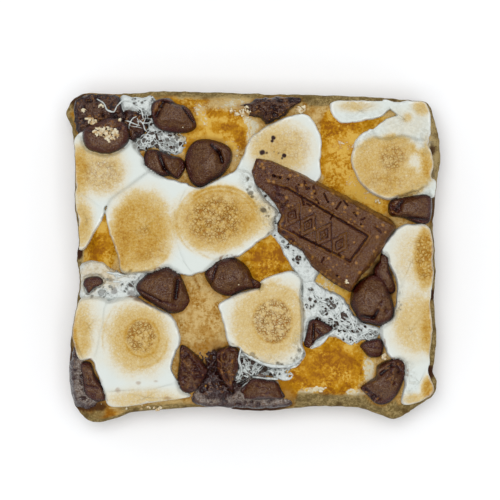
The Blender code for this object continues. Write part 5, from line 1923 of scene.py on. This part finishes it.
    def fields(self, x: Field, y: Field, z: Field) -> dict[str, Field]:
        """Values that drive its colour.

        Args:
            x: Places across the bar.
            y: Places along the bar.
            z: Heights.

        Returns:
            How shaded and how flecked it is at each place: the shade is painted, and some flecks are painted
            highlights.
        """
        inside, sunk = self.loop.inside(x, y), self.panel_inside(x, y)
        reach = self.lozenge_reach(x, y)
        sharp = 1.0 - 0.6 * self.broken(x, y)
        # Painted shade: in the groove round the panel, along the lozenges' outlines, in the cracks and
        # holes, over the crumbled end and at the outer edge.
        shade = 0.9 * ridge(sunk, 0.2, 0.24) * sharp
        shade = np.maximum(shade, 0.9 * ridge(reach, 1.1, 0.07) * sharp)
        shade = np.maximum(shade, 0.9 * ridge(reach, 0.48, 0.07) * sharp)
        shade = np.maximum(shade, 0.24 * self.broken(x, y))
        for crack in self.cracks:
            off = distance_to_line(x, y, crack)
            shade = np.maximum(shade, 0.9 * ridge(off, 0.0, 0.17))
        for hole in self.holes:
            off = np.hypot(x - hole.x, y - hole.y) / hole.radius
            shade = np.maximum(shade, smoothstep(1.3, 0.6, off))
        wave = np.abs(rough_grain(x, y, 0.0, 1.8, 53))
        shade = np.maximum(shade, self.broken(x, y) * smoothstep(0.18, 0.5, wave) * 0.9)
        shade = np.maximum(shade, 0.6 * smoothstep(0.3, 0.0, inside))
        fleck = np.zeros(np.shape(x))
        for spot in self.flecks:
            off = np.hypot(x - spot.x, y - spot.y) / spot.radius
            fleck = np.maximum(fleck, 0.6 * smoothstep(1.3, 0.5, off))
        patchy = smoothstep(-0.2, 0.5, grain(x, y, z, 1.3, 56))
        # Painted highlights: light flecks along the raised edges of the lozenges and the lip of the panel.
        rims = ridge(reach, 1.02, 0.05) + ridge(reach, 0.56, 0.05)
        rims = np.maximum(rims, ridge(sunk, -0.1, 0.12))
        fleck = np.maximum(fleck, 0.5 * rims * patchy)
        # The back chamfer: amber flecks, with painted shade on the falling edge.
        behind = smoothstep(0.1, 0.5, beyond(x, y, self.chamfers[0].line))
        fleck = np.maximum(fleck, behind * (0.45 + 0.3 * grain(x, y, z, 0.8, 60)))
        shade = np.maximum(shade, 0.7 * behind)
        ragged = smoothstep(0.2, 0.7, grain(x, y, z, 0.7, 58)) * smoothstep(1.4, 0.2, inside)
        fleck = np.maximum(fleck, 0.55 * ragged)
        return {"shade": np.clip(shade, 0, 1), "fleck": np.clip(fleck, 0, 1)}

    def build(self, finish: bpy.types.Material) -> None:
        """Makes the piece."""
        mound = Mound(
            self.node + "_face", self.loop, self.height, self.fields, foot=self.foot,
            step=self.step, tuck=0.0, bulge=0.0,
        )
        place_piece(mound.build(), finish, SlotName.CHOCOLATE, self.node)


AMBER: tuple[Spot, ...] = (
    Spot(-8.4, 27.4, 8.6, 5.2, 1.0, 0.3, 10), Spot(-14.6, 34.4, 5.0, 1.6, 0.7, 0.4),
    Spot(-33.4, 3.4, 4.6, 7.4, 0.95, 0.25, -15), Spot(20.6, 23.6, 6.6, 10.4, 1.0, 0.12),
    Spot(25.4, 13.4, 6.4, 3.6, 0.95, 0.2, -30), Spot(3.2, -0.4, 6.2, 5.4, 1.0, 0.2),
    Spot(16.4, -6.4, 6.4, 3.4, 0.95, 0.2, -30), Spot(16.2, -24.6, 11.0, 7.6, 1.0, 0.12, 10),
    Spot(-40.4, 31.8, 1.8, 3.8, 0.9, 0.3), Spot(-31.8, -35.8, 3.4, 1.4, 0.6, 0.3),
    Spot(26.0, 28.8, 5.6, 1.8, 0.9, 0.3, 20), Spot(17.4, 31.0, 1.4, 1.6, 0.8, 0.3),
)

BROWNED: tuple[Spot, ...] = (
    Spot(-3.8, 28.0, 3.4, 1.5, 1.0, 0.35, -14), Spot(-9.4, 28.4, 3.2, 1.2, 0.3, 0.5, 25),
    Spot(-2.2, 25.0, 1.4, 2.0, 0.7, 0.5, 30), Spot(-13.6, 33.6, 3.4, 1.4, 0.6, 0.5),
    Spot(-8.0, 31.8, 3.0, 1.0, 0.8, 0.5, -10), Spot(17.6, -25.4, 6.0, 3.6, 0.7, 0.5, 10),
    Spot(18.6, 28.6, 4.2, 2.4, 0.8, 0.5, 20), Spot(16.6, 19.2, 2.4, 2.6, 0.5, 0.5),
    Spot(24.6, 28.8, 3.4, 1.4, 0.4, 0.5), Spot(3.0, -1.4, 4.4, 2.8, 0.8, 0.5),
    Spot(-34.6, 1.0, 1.4, 4.6, 0.8, 0.5, -15), Spot(10.0, -28.8, 4.0, 2.4, 0.5, 0.5),
    Spot(-33.0, -35.4, 3.0, 1.8, 1.0, 0.5), Spot(16.0, -30.2, 9.0, 1.6, 0.7, 0.5),
    Spot(22.4, -26.6, 3.2, 4.6, 0.5, 0.5), Spot(16.4, -22.4, 4.4, 3.2, 0.5, 0.5),
)

PALE: tuple[Spot, ...] = (
    Spot(-11.0, 31.0, 1.4, 3.8, 0.8, 0.5, 20), Spot(26.0, -25.4, 1.5, 4.2, 1.0, 0.4),
    Spot(-3.6, 34.2, 3.4, 1.6, 0.9, 0.5), Spot(-7.4, 33.6, 3.4, 1.6, 0.6, 0.5),
    Spot(-0.2, 29.6, 2.6, 1.5, 1.0, 0.4, -45), Spot(-0.2, 26.6, 1.6, 2.4, 0.9, 0.4),
    Spot(40.6, 22.0, 1.6, 9.0, 1.0, 0.4), Spot(-7.6, 25.6, 2.6, 0.9, 0.7, 0.5, -20),
    Spot(-13.4, 26.8, 2.6, 1.6, 0.5, 0.4), Spot(-4.4, 22.8, 2.0, 3.6, 0.7, 0.5),
    Spot(25.4, 14.2, 4.6, 2.8, 0.7, 0.5, -30), Spot(20.4, 24.4, 3.4, 2.4, 0.62, 0.5),
    Spot(20.0, 18.0, 3.4, 2.0, 0.4, 0.5, -30), Spot(16.0, -6.0, 5.6, 2.6, 0.8, 0.5, -35),
    Spot(20.6, -27.0, 2.6, 1.6, 0.5, 0.5), Spot(13.4, -29.8, 3.4, 0.8, 1.0, 0.4, 8),
    Spot(23.0, -30.4, 2.8, 0.9, 1.0, 0.4), Spot(-33.6, 7.0, 1.6, 2.4, 0.6, 0.5),
    Spot(28.4, 31.2, 3.6, 1.0, 0.5, 0.5),
)

CRUST: tuple[Spot, ...] = (
    Spot(19.4, 35.4, 12.0, 1.7, 1.0, 0.2), Spot(-2.0, 36.0, 12.0, 0.9, 0.8, 0.3),
    Spot(22.0, -33.0, 15.0, 2.0, 1.0, 0.2, -4), Spot(33.4, -34.4, 4.4, 1.8, 1.0, 0.2),
    Spot(-36.2, -35.2, 2.8, 1.7, 0.9, 0.3), Spot(-22.0, -34.2, 8.0, 0.9, 0.9, 0.3),
    Spot(40.8, 22.6, 1.2, 8.6, 0.9, 0.2),
)

SMEARS: tuple[Spot, ...] = (
    Spot(39.8, -8.6, 1.4, 1.6, 1.0, 0.2), Spot(39.8, -25.8, 1.0, 1.6, 1.0, 0.2),
    Spot(-38.8, 1.2, 1.0, 2.0, 1.0, 0.2), Spot(40.6, 11.0, 0.9, 3.6, 0.8, 0.3),
    Spot(40.2, 23.6, 0.7, 1.2, 0.9, 0.3), Spot(-1.6, -33.4, 10.0, 1.8, 1.0, 0.1),
    Spot(-36.6, -33.6, 4.0, 1.2, 0.9, 0.2), Spot(-40.6, -27.0, 1.2, 7.0, 0.9, 0.2),
    Spot(-37.6, 34.6, 3.0, 1.6, 0.9, 0.3), Spot(-5.6, -26.4, 4.6, 6.4, 1.0, 0.12),
    Spot(28.6, -6.0, 3.0, 6.0, 0.9, 0.2),
)


@dataclass
class CookieSlab:
    """The baked dough, as a warped grid with a wall below its rim.

    Attributes:
        node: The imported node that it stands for.
        half_width: Half the grid's width.
        half_depth: Half its depth.
        columns: Cells across.
        rows: Cells along.
        wall_rows: Rows of the side wall.
        level: Height of the dough where nothing raises it.
        edge_height: Height at the rim.
        edge_fall: Share of the way in from the rim over which the top falls to it.
        crack: X and Y of the ends of its crack.
        rises: Where it is raised. The strength of each is its height.
    """

    node: str = "cookie_slab"
    half_width: float = 41.0
    half_depth: float = 36.0
    columns: int = 208
    rows: int = 184
    wall_rows: int = 26
    level: float = 20.6
    edge_height: float = 18.4
    edge_fall: float = 0.13
    crack: Line = (-13.2, -4.2, -11.6, -7.2)
    rises: tuple[Spot, ...] = (
        Spot(-7.0, 29.6, 8.0, 6.5, 2.2, tilt=-10),
        Spot(-33.0, 3.5, 3.4, 6.5, 1.8, tilt=-15),
        Spot(20.0, 23.0, 6.0, 10.0, 2.2),
        Spot(-11.0, -12.0, 6.0, 8.0, 1.6),
        Spot(3.5, -0.4, 6.0, 5.0, 2.2, tilt=30),
        Spot(16.0, -25.5, 10.0, 7.0, 2.4, tilt=15),
    )

    def height(self, x: Field, y: Field, rim: Field) -> Field:
        """Height of the dough's top.

        Args:
            x: Places across the bar.
            y: Places along the bar.
            rim: 0 in the middle of the bar and 1 at its edge.

        Returns:
            The heights.
        """
        height = np.full(np.shape(x), self.level)
        for rise in self.rises:
            across, along = rise.turned(x, y)
            height += rise.strength * np.exp(-(across**4 + along**4))
        amber = total_cover(AMBER, x, y)
        height += (0.45 - 0.25 * amber) * rough_grain(x, y, 0.0, 2.4, 61)
        height += 0.3 * grain(x, y, 0.0, 5.0, 62)
        height -= 0.5 * ridge(distance_to_line(x, y, self.crack), 0.0, 0.16)
        fall = np.clip((rim - 1.0 + self.edge_fall) / self.edge_fall, 0.0, 1.0) ** 2
        return height + (self.edge_height - height) * fall

    def fields(self, x: Field, y: Field, z: Field, rim: Field) -> dict[str, Field]:
        """Values that drive its colour.

        Args:
            x: Places across the bar.
            y: Places along the bar.
            z: Heights.
            rim: 0 in the middle of the bar and 1 at its edge.

        Returns:
            The named fields.
        """
        wobble = 0.1 * grain(x, y, z, 2.2, 71) + 0.05 * grain(x, y, z, 0.8, 72)
        crust = smoothstep(0.965, 0.99, rim + 0.015 * grain(x, y, z, 1.6, 73))
        crust = np.maximum(crust, total_cover(CRUST, x, y, 3.0 * wobble))
        near = near_chocolate(x, y) + 0.4 * grain(x, y, z, 0.8, 74)
        stain = 0.6 * smoothstep(0.9, 0.0, near)
        # Painted shade along the crack, carried in the stain field with the real stain round the chocolate.
        crack = ridge(distance_to_line(x, y, self.crack), 0.0, 0.2)
        return {
            "amber": total_cover(AMBER, x, y, wobble) * (1.0 - crust),
            "brown": total_cover(BROWNED, x, y, 2.5 * wobble),
            "pale": total_cover(PALE, x, y, 2.5 * wobble),
            "crust": crust,
            "side": smoothstep(17.0, 13.0, z),
            "stain": np.clip(np.maximum(stain, crack), 0, 1),
            "smear": total_cover(SMEARS, x, y, 2 * wobble) * smoothstep(9.0, 14.0, z),
        }

    def build(self, finish: bpy.types.Material) -> None:
        """Makes the slab."""
        across, along = np.meshgrid(
            np.linspace(-1, 1, self.columns + 1), np.linspace(-1, 1, self.rows + 1)
        )
        rim = np.maximum(np.abs(across), np.abs(along))
        x, y = across * self.half_width, along * self.half_depth
        angle = np.arctan2(y, x)
        square = 1.0 / np.maximum(
            np.abs(np.cos(angle)) / self.half_width, np.abs(np.sin(angle)) / self.half_depth
        )
        stretch = BAR_EDGE.radius(angle) / square
        x, y = x * stretch, y * stretch
        z = self.height(x, y, rim)
        number = np.arange(x.size).reshape(x.shape)
        cells = np.stack(
            [number[:-1, :-1], number[:-1, 1:], number[1:, 1:], number[1:, :-1]], axis=-1
        ).reshape(-1, 4)
        border = np.concatenate(
            [number[0, :-1], number[:-1, -1], number[-1, :0:-1], number[:0:-1, 0]]
        )
        corners = [np.stack([x.ravel(), y.ravel(), z.ravel()], axis=-1)]
        rims = [rim.ravel()]
        above, start = border, x.size
        edge_angle = np.arctan2(y.ravel()[border], x.ravel()[border])
        edge_z = z.ravel()[border]
        walls = []
        for row in range(1, self.wall_rows + 1):
            share = row / self.wall_rows
            level = edge_z * (1.0 - share) if row < self.wall_rows else np.zeros(len(border))
            bend = 0.9 * smoothstep(0.9, 1.0, share) - 0.35
            reach = BAR_EDGE.radius(edge_angle) - bend
            flat_x, flat_y = np.cos(edge_angle) * reach, np.sin(edge_angle) * reach
            crag = rough_grain(flat_x, flat_y, level, 2.6, 81)
            reach = reach - 0.5 * (0.3 + 0.7 * crag) * math.sin(math.pi * min(1.0, share * 1.02))
            corners.append(
                np.stack([np.cos(edge_angle) * reach, np.sin(edge_angle) * reach, level], axis=-1)
            )
            rims.append(np.ones(len(border)))
            below = start + np.arange(len(border))
            walls.append(
                np.stack([above, below, np.roll(below, -1), np.roll(above, -1)], axis=-1)
            )
            above, start = below, start + len(border)
        corners.append(np.zeros((1, 3)))
        rims.append(np.ones(1))
        under = np.stack([above, np.full(len(border), start), np.roll(above, -1)], axis=-1)
        places = np.concatenate(corners)
        fields = self.fields(places[:, 0], places[:, 1], places[:, 2], np.concatenate(rims))
        obj = mesh_object(
            self.node + "_dough", places, np.concatenate([cells] + walls), under, fields
        )
        place_piece(obj, finish, SlotName.DOUGH, self.node)


@dataclass(frozen=True)
class Strand:
    """A string of melted marshmallow: the places that it runs through, and half its width."""

    points: Outline
    width: float = 0.16


@dataclass(frozen=True)
class Tangle:
    """Strings that cross each other.

    Attributes:
        area: Where their middles lie. Its strength isn't used.
        count: How many there are.
        longest: Length of the longest.
        widest: Half the width of the widest.
    """

    area: Spot
    count: int
    longest: float = 4.0
    widest: float = 0.17


@dataclass
class Strings:
    """Strings of melted marshmallow, laid over everything and joined into one mesh."""

    sheet: WhiteSheet
    strands: tuple[Strand, ...] = (
        Strand(((-34.6, 35.0), (-32.9, 34.0), (-32.3, 32.4), (-30.7, 31.9), (-30.1, 33.3)), 0.2),
        Strand(((-30.1, 33.3), (-28.9, 34.6), (-26.6, 34.2)), 0.16),
        Strand(((-27.6, 32.8), (-26.0, 33.4), (-24.6, 32.6), (-24.2, 30.6)), 0.2),
        Strand(((-2.0, -21.5), (0.0, -22.6), (2.7, -24.0), (5.8, -24.6), (8.9, -24.4), (11.3, -22.4)), 0.42),
        Strand(((0.0, -26.9), (2.6, -27.3), (5.8, -27.4)), 0.3),
        Strand(((-2.4, -20.4), (-3.0, -23.0), (-2.2, -25.4), (-3.2, -27.6)), 0.24),
    )
    tangles: tuple[Tangle, ...] = (
        Tangle(Spot(-0.4, -25.0, 2.8, 2.6), 22, 4.0, 0.2),
        Tangle(Spot(7.2, -25.4, 4.0, 1.4), 12, 3.0, 0.2),
        Tangle(Spot(18.0, -13.0, 5.4, 2.4, tilt=-32), 30, 5.0, 0.3),
        Tangle(Spot(24.0, -17.4, 3.0, 1.0), 16, 4.0, 0.26),
        Tangle(Spot(-24.6, 30.6, 1.6, 2.8), 12, 3.6, 0.16),
        Tangle(Spot(-31.0, -5.6, 6.0, 2.4), 16, 4.0, 0.3),
        Tangle(Spot(9.6, 2.0, 1.0, 5.0, tilt=35), 8, 3.0, 0.18),
    )
    sides: int = 6
    steps: int = 20

    def drawn(self) -> list[Strand]:
        """Every string, with those of the tangles drawn at random where they stay over foam."""
        random = np.random.default_rng(9)
        drawn = list(self.strands)
        for tangle in self.tangles:
            for _ in range(tangle.count):
                x, y, _ = tangle.area.place(random)
                heading, pace = random.uniform(0, 2 * math.pi), tangle.longest / 5
                points = [(x, y)]
                for _ in range(random.integers(2, 6)):
                    heading += random.uniform(-0.6, 0.6)
                    x, y = x + pace * math.cos(heading), y + pace * math.sin(heading)
                    points.append((x, y))
                width = tangle.widest * random.uniform(0.4, 1.0)
                if self.over_foam(points):
                    drawn.append(Strand(tuple(points), width))
        return drawn

    def over_foam(self, points: list[Pair]) -> bool:
        """Whether every point lies on melted marshmallow, clear of the whole chips."""
        x, y = np.array(points).T
        foams = [puff.loop.inside(x, y) for puff in self.sheet.puffs if puff.foamy]
        chips = [
            piece.loop.inside(x, y) for piece in self.sheet.chocolates if piece.melt is Melt.FIRM
        ]
        return bool(np.maximum.reduce(foams).min() > -0.3 and np.maximum.reduce(chips).max() < 0.2)

    def surface(self, x: Field, y: Field) -> Field:
        """Height of whatever lies on top at each place."""
        level = np.full(np.shape(x), 20.0)
        for puff in self.sheet.puffs:
            covered = puff.loop.inside(x, y) > 0
            level = np.where(covered, np.maximum(level, self.sheet.skin(puff, x, y)), level)
        for piece in self.sheet.chocolates:
            covered = piece.loop.inside(x, y) > 0
            level = np.where(covered, np.maximum(level, piece.height(x, y)), level)
        return level

    def build(self, finish: bpy.types.Material) -> None:
        """Makes the strings."""
        strands = self.drawn()
        share = np.linspace(0.0, 1.0, self.steps)
        kernel = np.array([0.25, 0.5, 0.25])
        paths = []
        for strand in strands:
            ends = np.array(strand.points)
            knots = np.linspace(0.0, 1.0, len(ends))
            path = np.stack([np.interp(share, knots, ends[:, side]) for side in (0, 1)], axis=1)
            for _ in range(2):
                path[1:-1] = np.stack(
                    [np.convolve(path[:, side], kernel, "valid") for side in (0, 1)], axis=1
                )
            paths.append(path)
        across, along = np.array(paths)[:, :, 0], np.array(paths)[:, :, 1]
        under = self.surface(across.ravel(), along.ravel()).reshape(across.shape)
        taut = under[:, :1] + (under[:, -1:] - under[:, :1]) * share - 0.8 * share * (1.0 - share)
        width = np.array([strand.width for strand in strands])[:, None]
        width = width * (0.45 + 0.55 * np.sin(math.pi * share) ** 0.5)
        width = width * (1.0 + 0.35 * grain(across, along, 0.0, 0.7, 95))
        level = np.maximum(under, taut) + 0.3 * width
        heading = np.arctan2(np.gradient(along, axis=1), np.gradient(across, axis=1))
        turn = np.arange(self.sides) * 2 * math.pi / self.sides
        aside = width[..., None] * np.cos(turn)
        x = across[..., None] - aside * np.sin(heading)[..., None]
        y = along[..., None] + aside * np.cos(heading)[..., None]
        z = level[..., None] + width[..., None] * np.sin(turn)
        corners = np.stack([x, y, z], axis=-1).reshape(-1, 3)
        number = np.arange(len(corners)).reshape(x.shape)
        first, after = number[:, :-1], number[:, 1:]
        quads = np.stack(
            [first, np.roll(first, -1, axis=2), np.roll(after, -1, axis=2), after], axis=-1
        ).reshape(-1, 4)
        fields = {"toast": np.full(len(corners), 0.1)}
        obj = mesh_object("strings", corners, quads, np.zeros((0, 3), int), fields)
        place_piece(obj, finish, SlotName.FOAM)


@dataclass(frozen=True)
class CrumbHeap:
    """Crumbs strewn over an oval.

    Attributes:
        area: Where they lie. Its strength isn't used.
        count: How many crumbs.
        size: Typical radius.
        level: Height on which they lie.
    """

    area: Spot
    count: int
    size: float
    level: float


@dataclass
class Crumbs:
    """Loose crumbs, joined into one mesh."""

    heaps: tuple[CrumbHeap, ...] = (
        CrumbHeap(Spot(-32.3, 27.4, 3.0, 1.2, tilt=-6), 120, 0.28, 25.9),
        CrumbHeap(Spot(-31.4, 26.0, 1.2, 0.8), 20, 0.26, 25.8),
        CrumbHeap(Spot(-35.6, 30.0, 1.3, 0.6, tilt=-25), 30, 0.28, 24.9),
        CrumbHeap(Spot(-33.6, 33.2, 0.6, 0.5), 6, 0.4, 23.6),
        CrumbHeap(Spot(-37.4, 32.2, 0.4, 0.5), 3, 0.45, 23.6),
        CrumbHeap(Spot(-29.4, 29.8, 0.4, 0.4), 2, 0.4, 24.8),
        CrumbHeap(Spot(-1.6, 31.8, 1.2, 1.6, tilt=-30), 26, 0.26, 23.0),
        CrumbHeap(Spot(-3.6, 31.8, 2.0, 0.9, tilt=-20), 9, 0.4, 23.0),
        CrumbHeap(Spot(11.2, 32.8, 1.0, 0.8), 16, 0.42, 22.8),
        CrumbHeap(Spot(29.4, -22.4, 0.6, 0.6), 9, 0.5, 23.2),
        CrumbHeap(Spot(20.8, -5.8, 0.7, 0.4, tilt=-40), 5, 0.3, 26.2),
        CrumbHeap(Spot(-2.8, -6.5, 0.2, 0.2), 1, 0.3, 25.2),
        CrumbHeap(Spot(-15.4, 28.6, 0.2, 0.2), 1, 0.3, 24.6),
        CrumbHeap(Spot(14.2, -29.4, 4.0, 1.0, tilt=5), 12, 0.35, 22.4),
        CrumbHeap(Spot(-27.0, -33.6, 7.0, 0.8, tilt=-4), 12, 0.3, 20.4),
        CrumbHeap(Spot(28.0, 12.2, 0.8, 0.4, tilt=-50), 3, 0.3, 22.6),
    )

    def build(self, finish: bpy.types.Material) -> None:
        """Makes the crumbs."""
        random = np.random.default_rng(5)
        shape = bmesh.new()
        for heap in self.heaps:
            for _ in range(heap.count):
                x, y, out = heap.area.place(random)
                size = heap.size * random.uniform(0.55, 1.35)
                lift = 0.5 * (1.0 - out) * min(1.0, heap.count / 40)
                self.add(shape, Vector((x, y, heap.level + lift)), size, random)
        for vertex in shape.verts:
            vertex.co *= MM
        place_piece(shaped_object("crumbs", shape), finish, SlotName.DOUGH)

    @staticmethod
    def add(
        shape: bmesh.types.BMesh, place: Vector, size: float, random: np.random.Generator
    ) -> None:
        """Adds one jagged crumb.

        Args:
            shape: The mesh that it joins.
            place: Its middle.
            size: Its radius.
            random: Source of its unevenness.
        """
        made = bmesh.ops.create_icosphere(shape, subdivisions=1, radius=size)
        stretch = random.uniform(0.6, 1.25, 3)
        for vertex in made["verts"]:
            jag = 1.0 + random.uniform(-0.4, 0.4)
            vertex.co = Vector(
                (vertex.co.x * stretch[0] * jag, vertex.co.y * stretch[1] * jag, vertex.co.z * 0.8)
            )
            vertex.co += place


@dataclass(frozen=True)
class Lamp:
    """A square soft lamp that points at the bar.

    Attributes:
        name: Its name.
        place: Where it stands, in metres.
        size: Side of its face, in metres.
        power: Its power in watts.
    """

    name: str
    place: tuple[float, float, float]
    size: float
    power: float

    def build(self) -> None:
        """Makes the lamp."""
        data = bpy.data.lights.new(self.name, "AREA")
        data.size, data.energy = self.size, self.power
        obj = add_object(self.name, data)
        obj.location = self.place
        way = Vector((0.0, 0.0, 0.02)) - Vector(self.place)
        obj.rotation_euler = way.to_track_quat("-Z", "Y").to_euler()


@dataclass
class Studio:
    """The camera, the pale floor and the soft light.

    Attributes:
        photo_width: Width that the picture shows at the height of the toppings.
        look_at: Place in the middle of the picture.
        top_level: Height of the toppings.
        lens: The camera's focal length.
        sensor: Width of its sensor.
        sky: Strength of the light from all round.
        lamps: The lamps.
    """

    photo_width: float = 111.0
    look_at: Pair = (-0.44, 1.33)
    top_level: float = 24.5
    lens: float = 270.0
    sensor: float = 36.0
    sky: float = 0.68
    lamps: tuple[Lamp, ...] = (
        Lamp("overhead", (0.0, 0.01, 0.9), 0.42, 4.4),
        Lamp("key", (-0.04, 0.06, 0.8), 0.14, 1.2),
    )

    def camera(self) -> None:
        """Puts the camera straight above the bar, at the photograph's scale."""
        data = bpy.data.cameras.new("camera")
        data.sensor_width, data.lens = self.sensor, self.lens
        data.clip_start, data.clip_end = 0.01, 10.0
        reach = self.photo_width / self.sensor * self.lens
        obj = add_object("camera", data)
        obj.location = Vector((*self.look_at, self.top_level + reach)) * MM
        bpy.context.scene.camera = obj

    def floor(self) -> None:
        """Lays a plain white floor under the bar."""
        tree = FinishTree("floor_finish")
        faint = tree.noise(60.0, 2.0)
        white = tree.mix(faint * 0.06, (0.79, 0.8, 0.815), (0.77, 0.78, 0.795))
        finish = tree.finish(Base_Color=white, Roughness=0.9, Specular_IOR_Level=0.1)
        shape = bmesh.new()
        bmesh.ops.create_grid(shape, x_segments=8, y_segments=8, size=1.5)
        obj = shaped_object("floor", shape)
        obj.data.materials.append(finish)

    def light(self) -> None:
        """Lights the bar softly from above, a little from the back left."""
        world = bpy.data.worlds.new("studio")
        world.use_nodes = True
        background = world.node_tree.nodes["Background"]
        background.inputs["Color"].default_value = (0.98, 0.99, 1.0, 1.0)
        background.inputs["Strength"].default_value = self.sky
        bpy.context.scene.world = world
        for lamp in self.lamps:
            lamp.build()

    def build(self) -> None:
        """Sets up everything round the bar."""
        bpy.context.scene.view_settings.view_transform = "Standard"
        self.camera()
        self.floor()
        self.light()


def main() -> None:
    """Dresses the bar."""
    logging.basicConfig(level=logging.INFO, format="%(name)s: %(message)s")
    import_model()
    Studio().build()
    foam, sheet = FoamFinish().make(), WhiteSheet()
    CookieSlab().build(DoughFinish().make())
    sheet.build(MarshmallowFinish().make(), foam)
    chocolate = {
        Melt.FIRM: ChocolateFinish("chip_finish").make(),
        Melt.ROUGH: ChocolateFinish(
            "rough_finish", seen(98, 71, 54, 0.02), seen(70, 47, 33, 0.02), seen(58, 34, 18, 0.02),
            seen(34, 18, 10, 0.01),
        ).make(),
        # The wet finish's light colour is a pale grey: a painted reflection of the glossy surface.
        Melt.WET: ChocolateFinish(
            "wet_finish", seen(140, 128, 119), seen(86, 66, 54), seen(56, 32, 18), seen(38, 20, 10),
            roughness=0.2, gloss=0.6,
        ).make(),
    }
    for piece in CHOCOLATES:
        place_piece(piece.build(), chocolate[piece.melt], SlotName.CHOCOLATE, piece.node)
    moulded = ChocolateFinish(
        "moulded_finish", seen(106, 75, 49, 0.03), seen(94, 64, 41, 0.03),
        fleck=seen(178, 126, 54), roughness=0.3, gloss=0.3,
    )
    ChocolatePiece().build(moulded.make())
    Strings(sheet).build(foam)
    Crumbs().build(CrumbFinish().make())


if __name__ == "__main__":
    main()
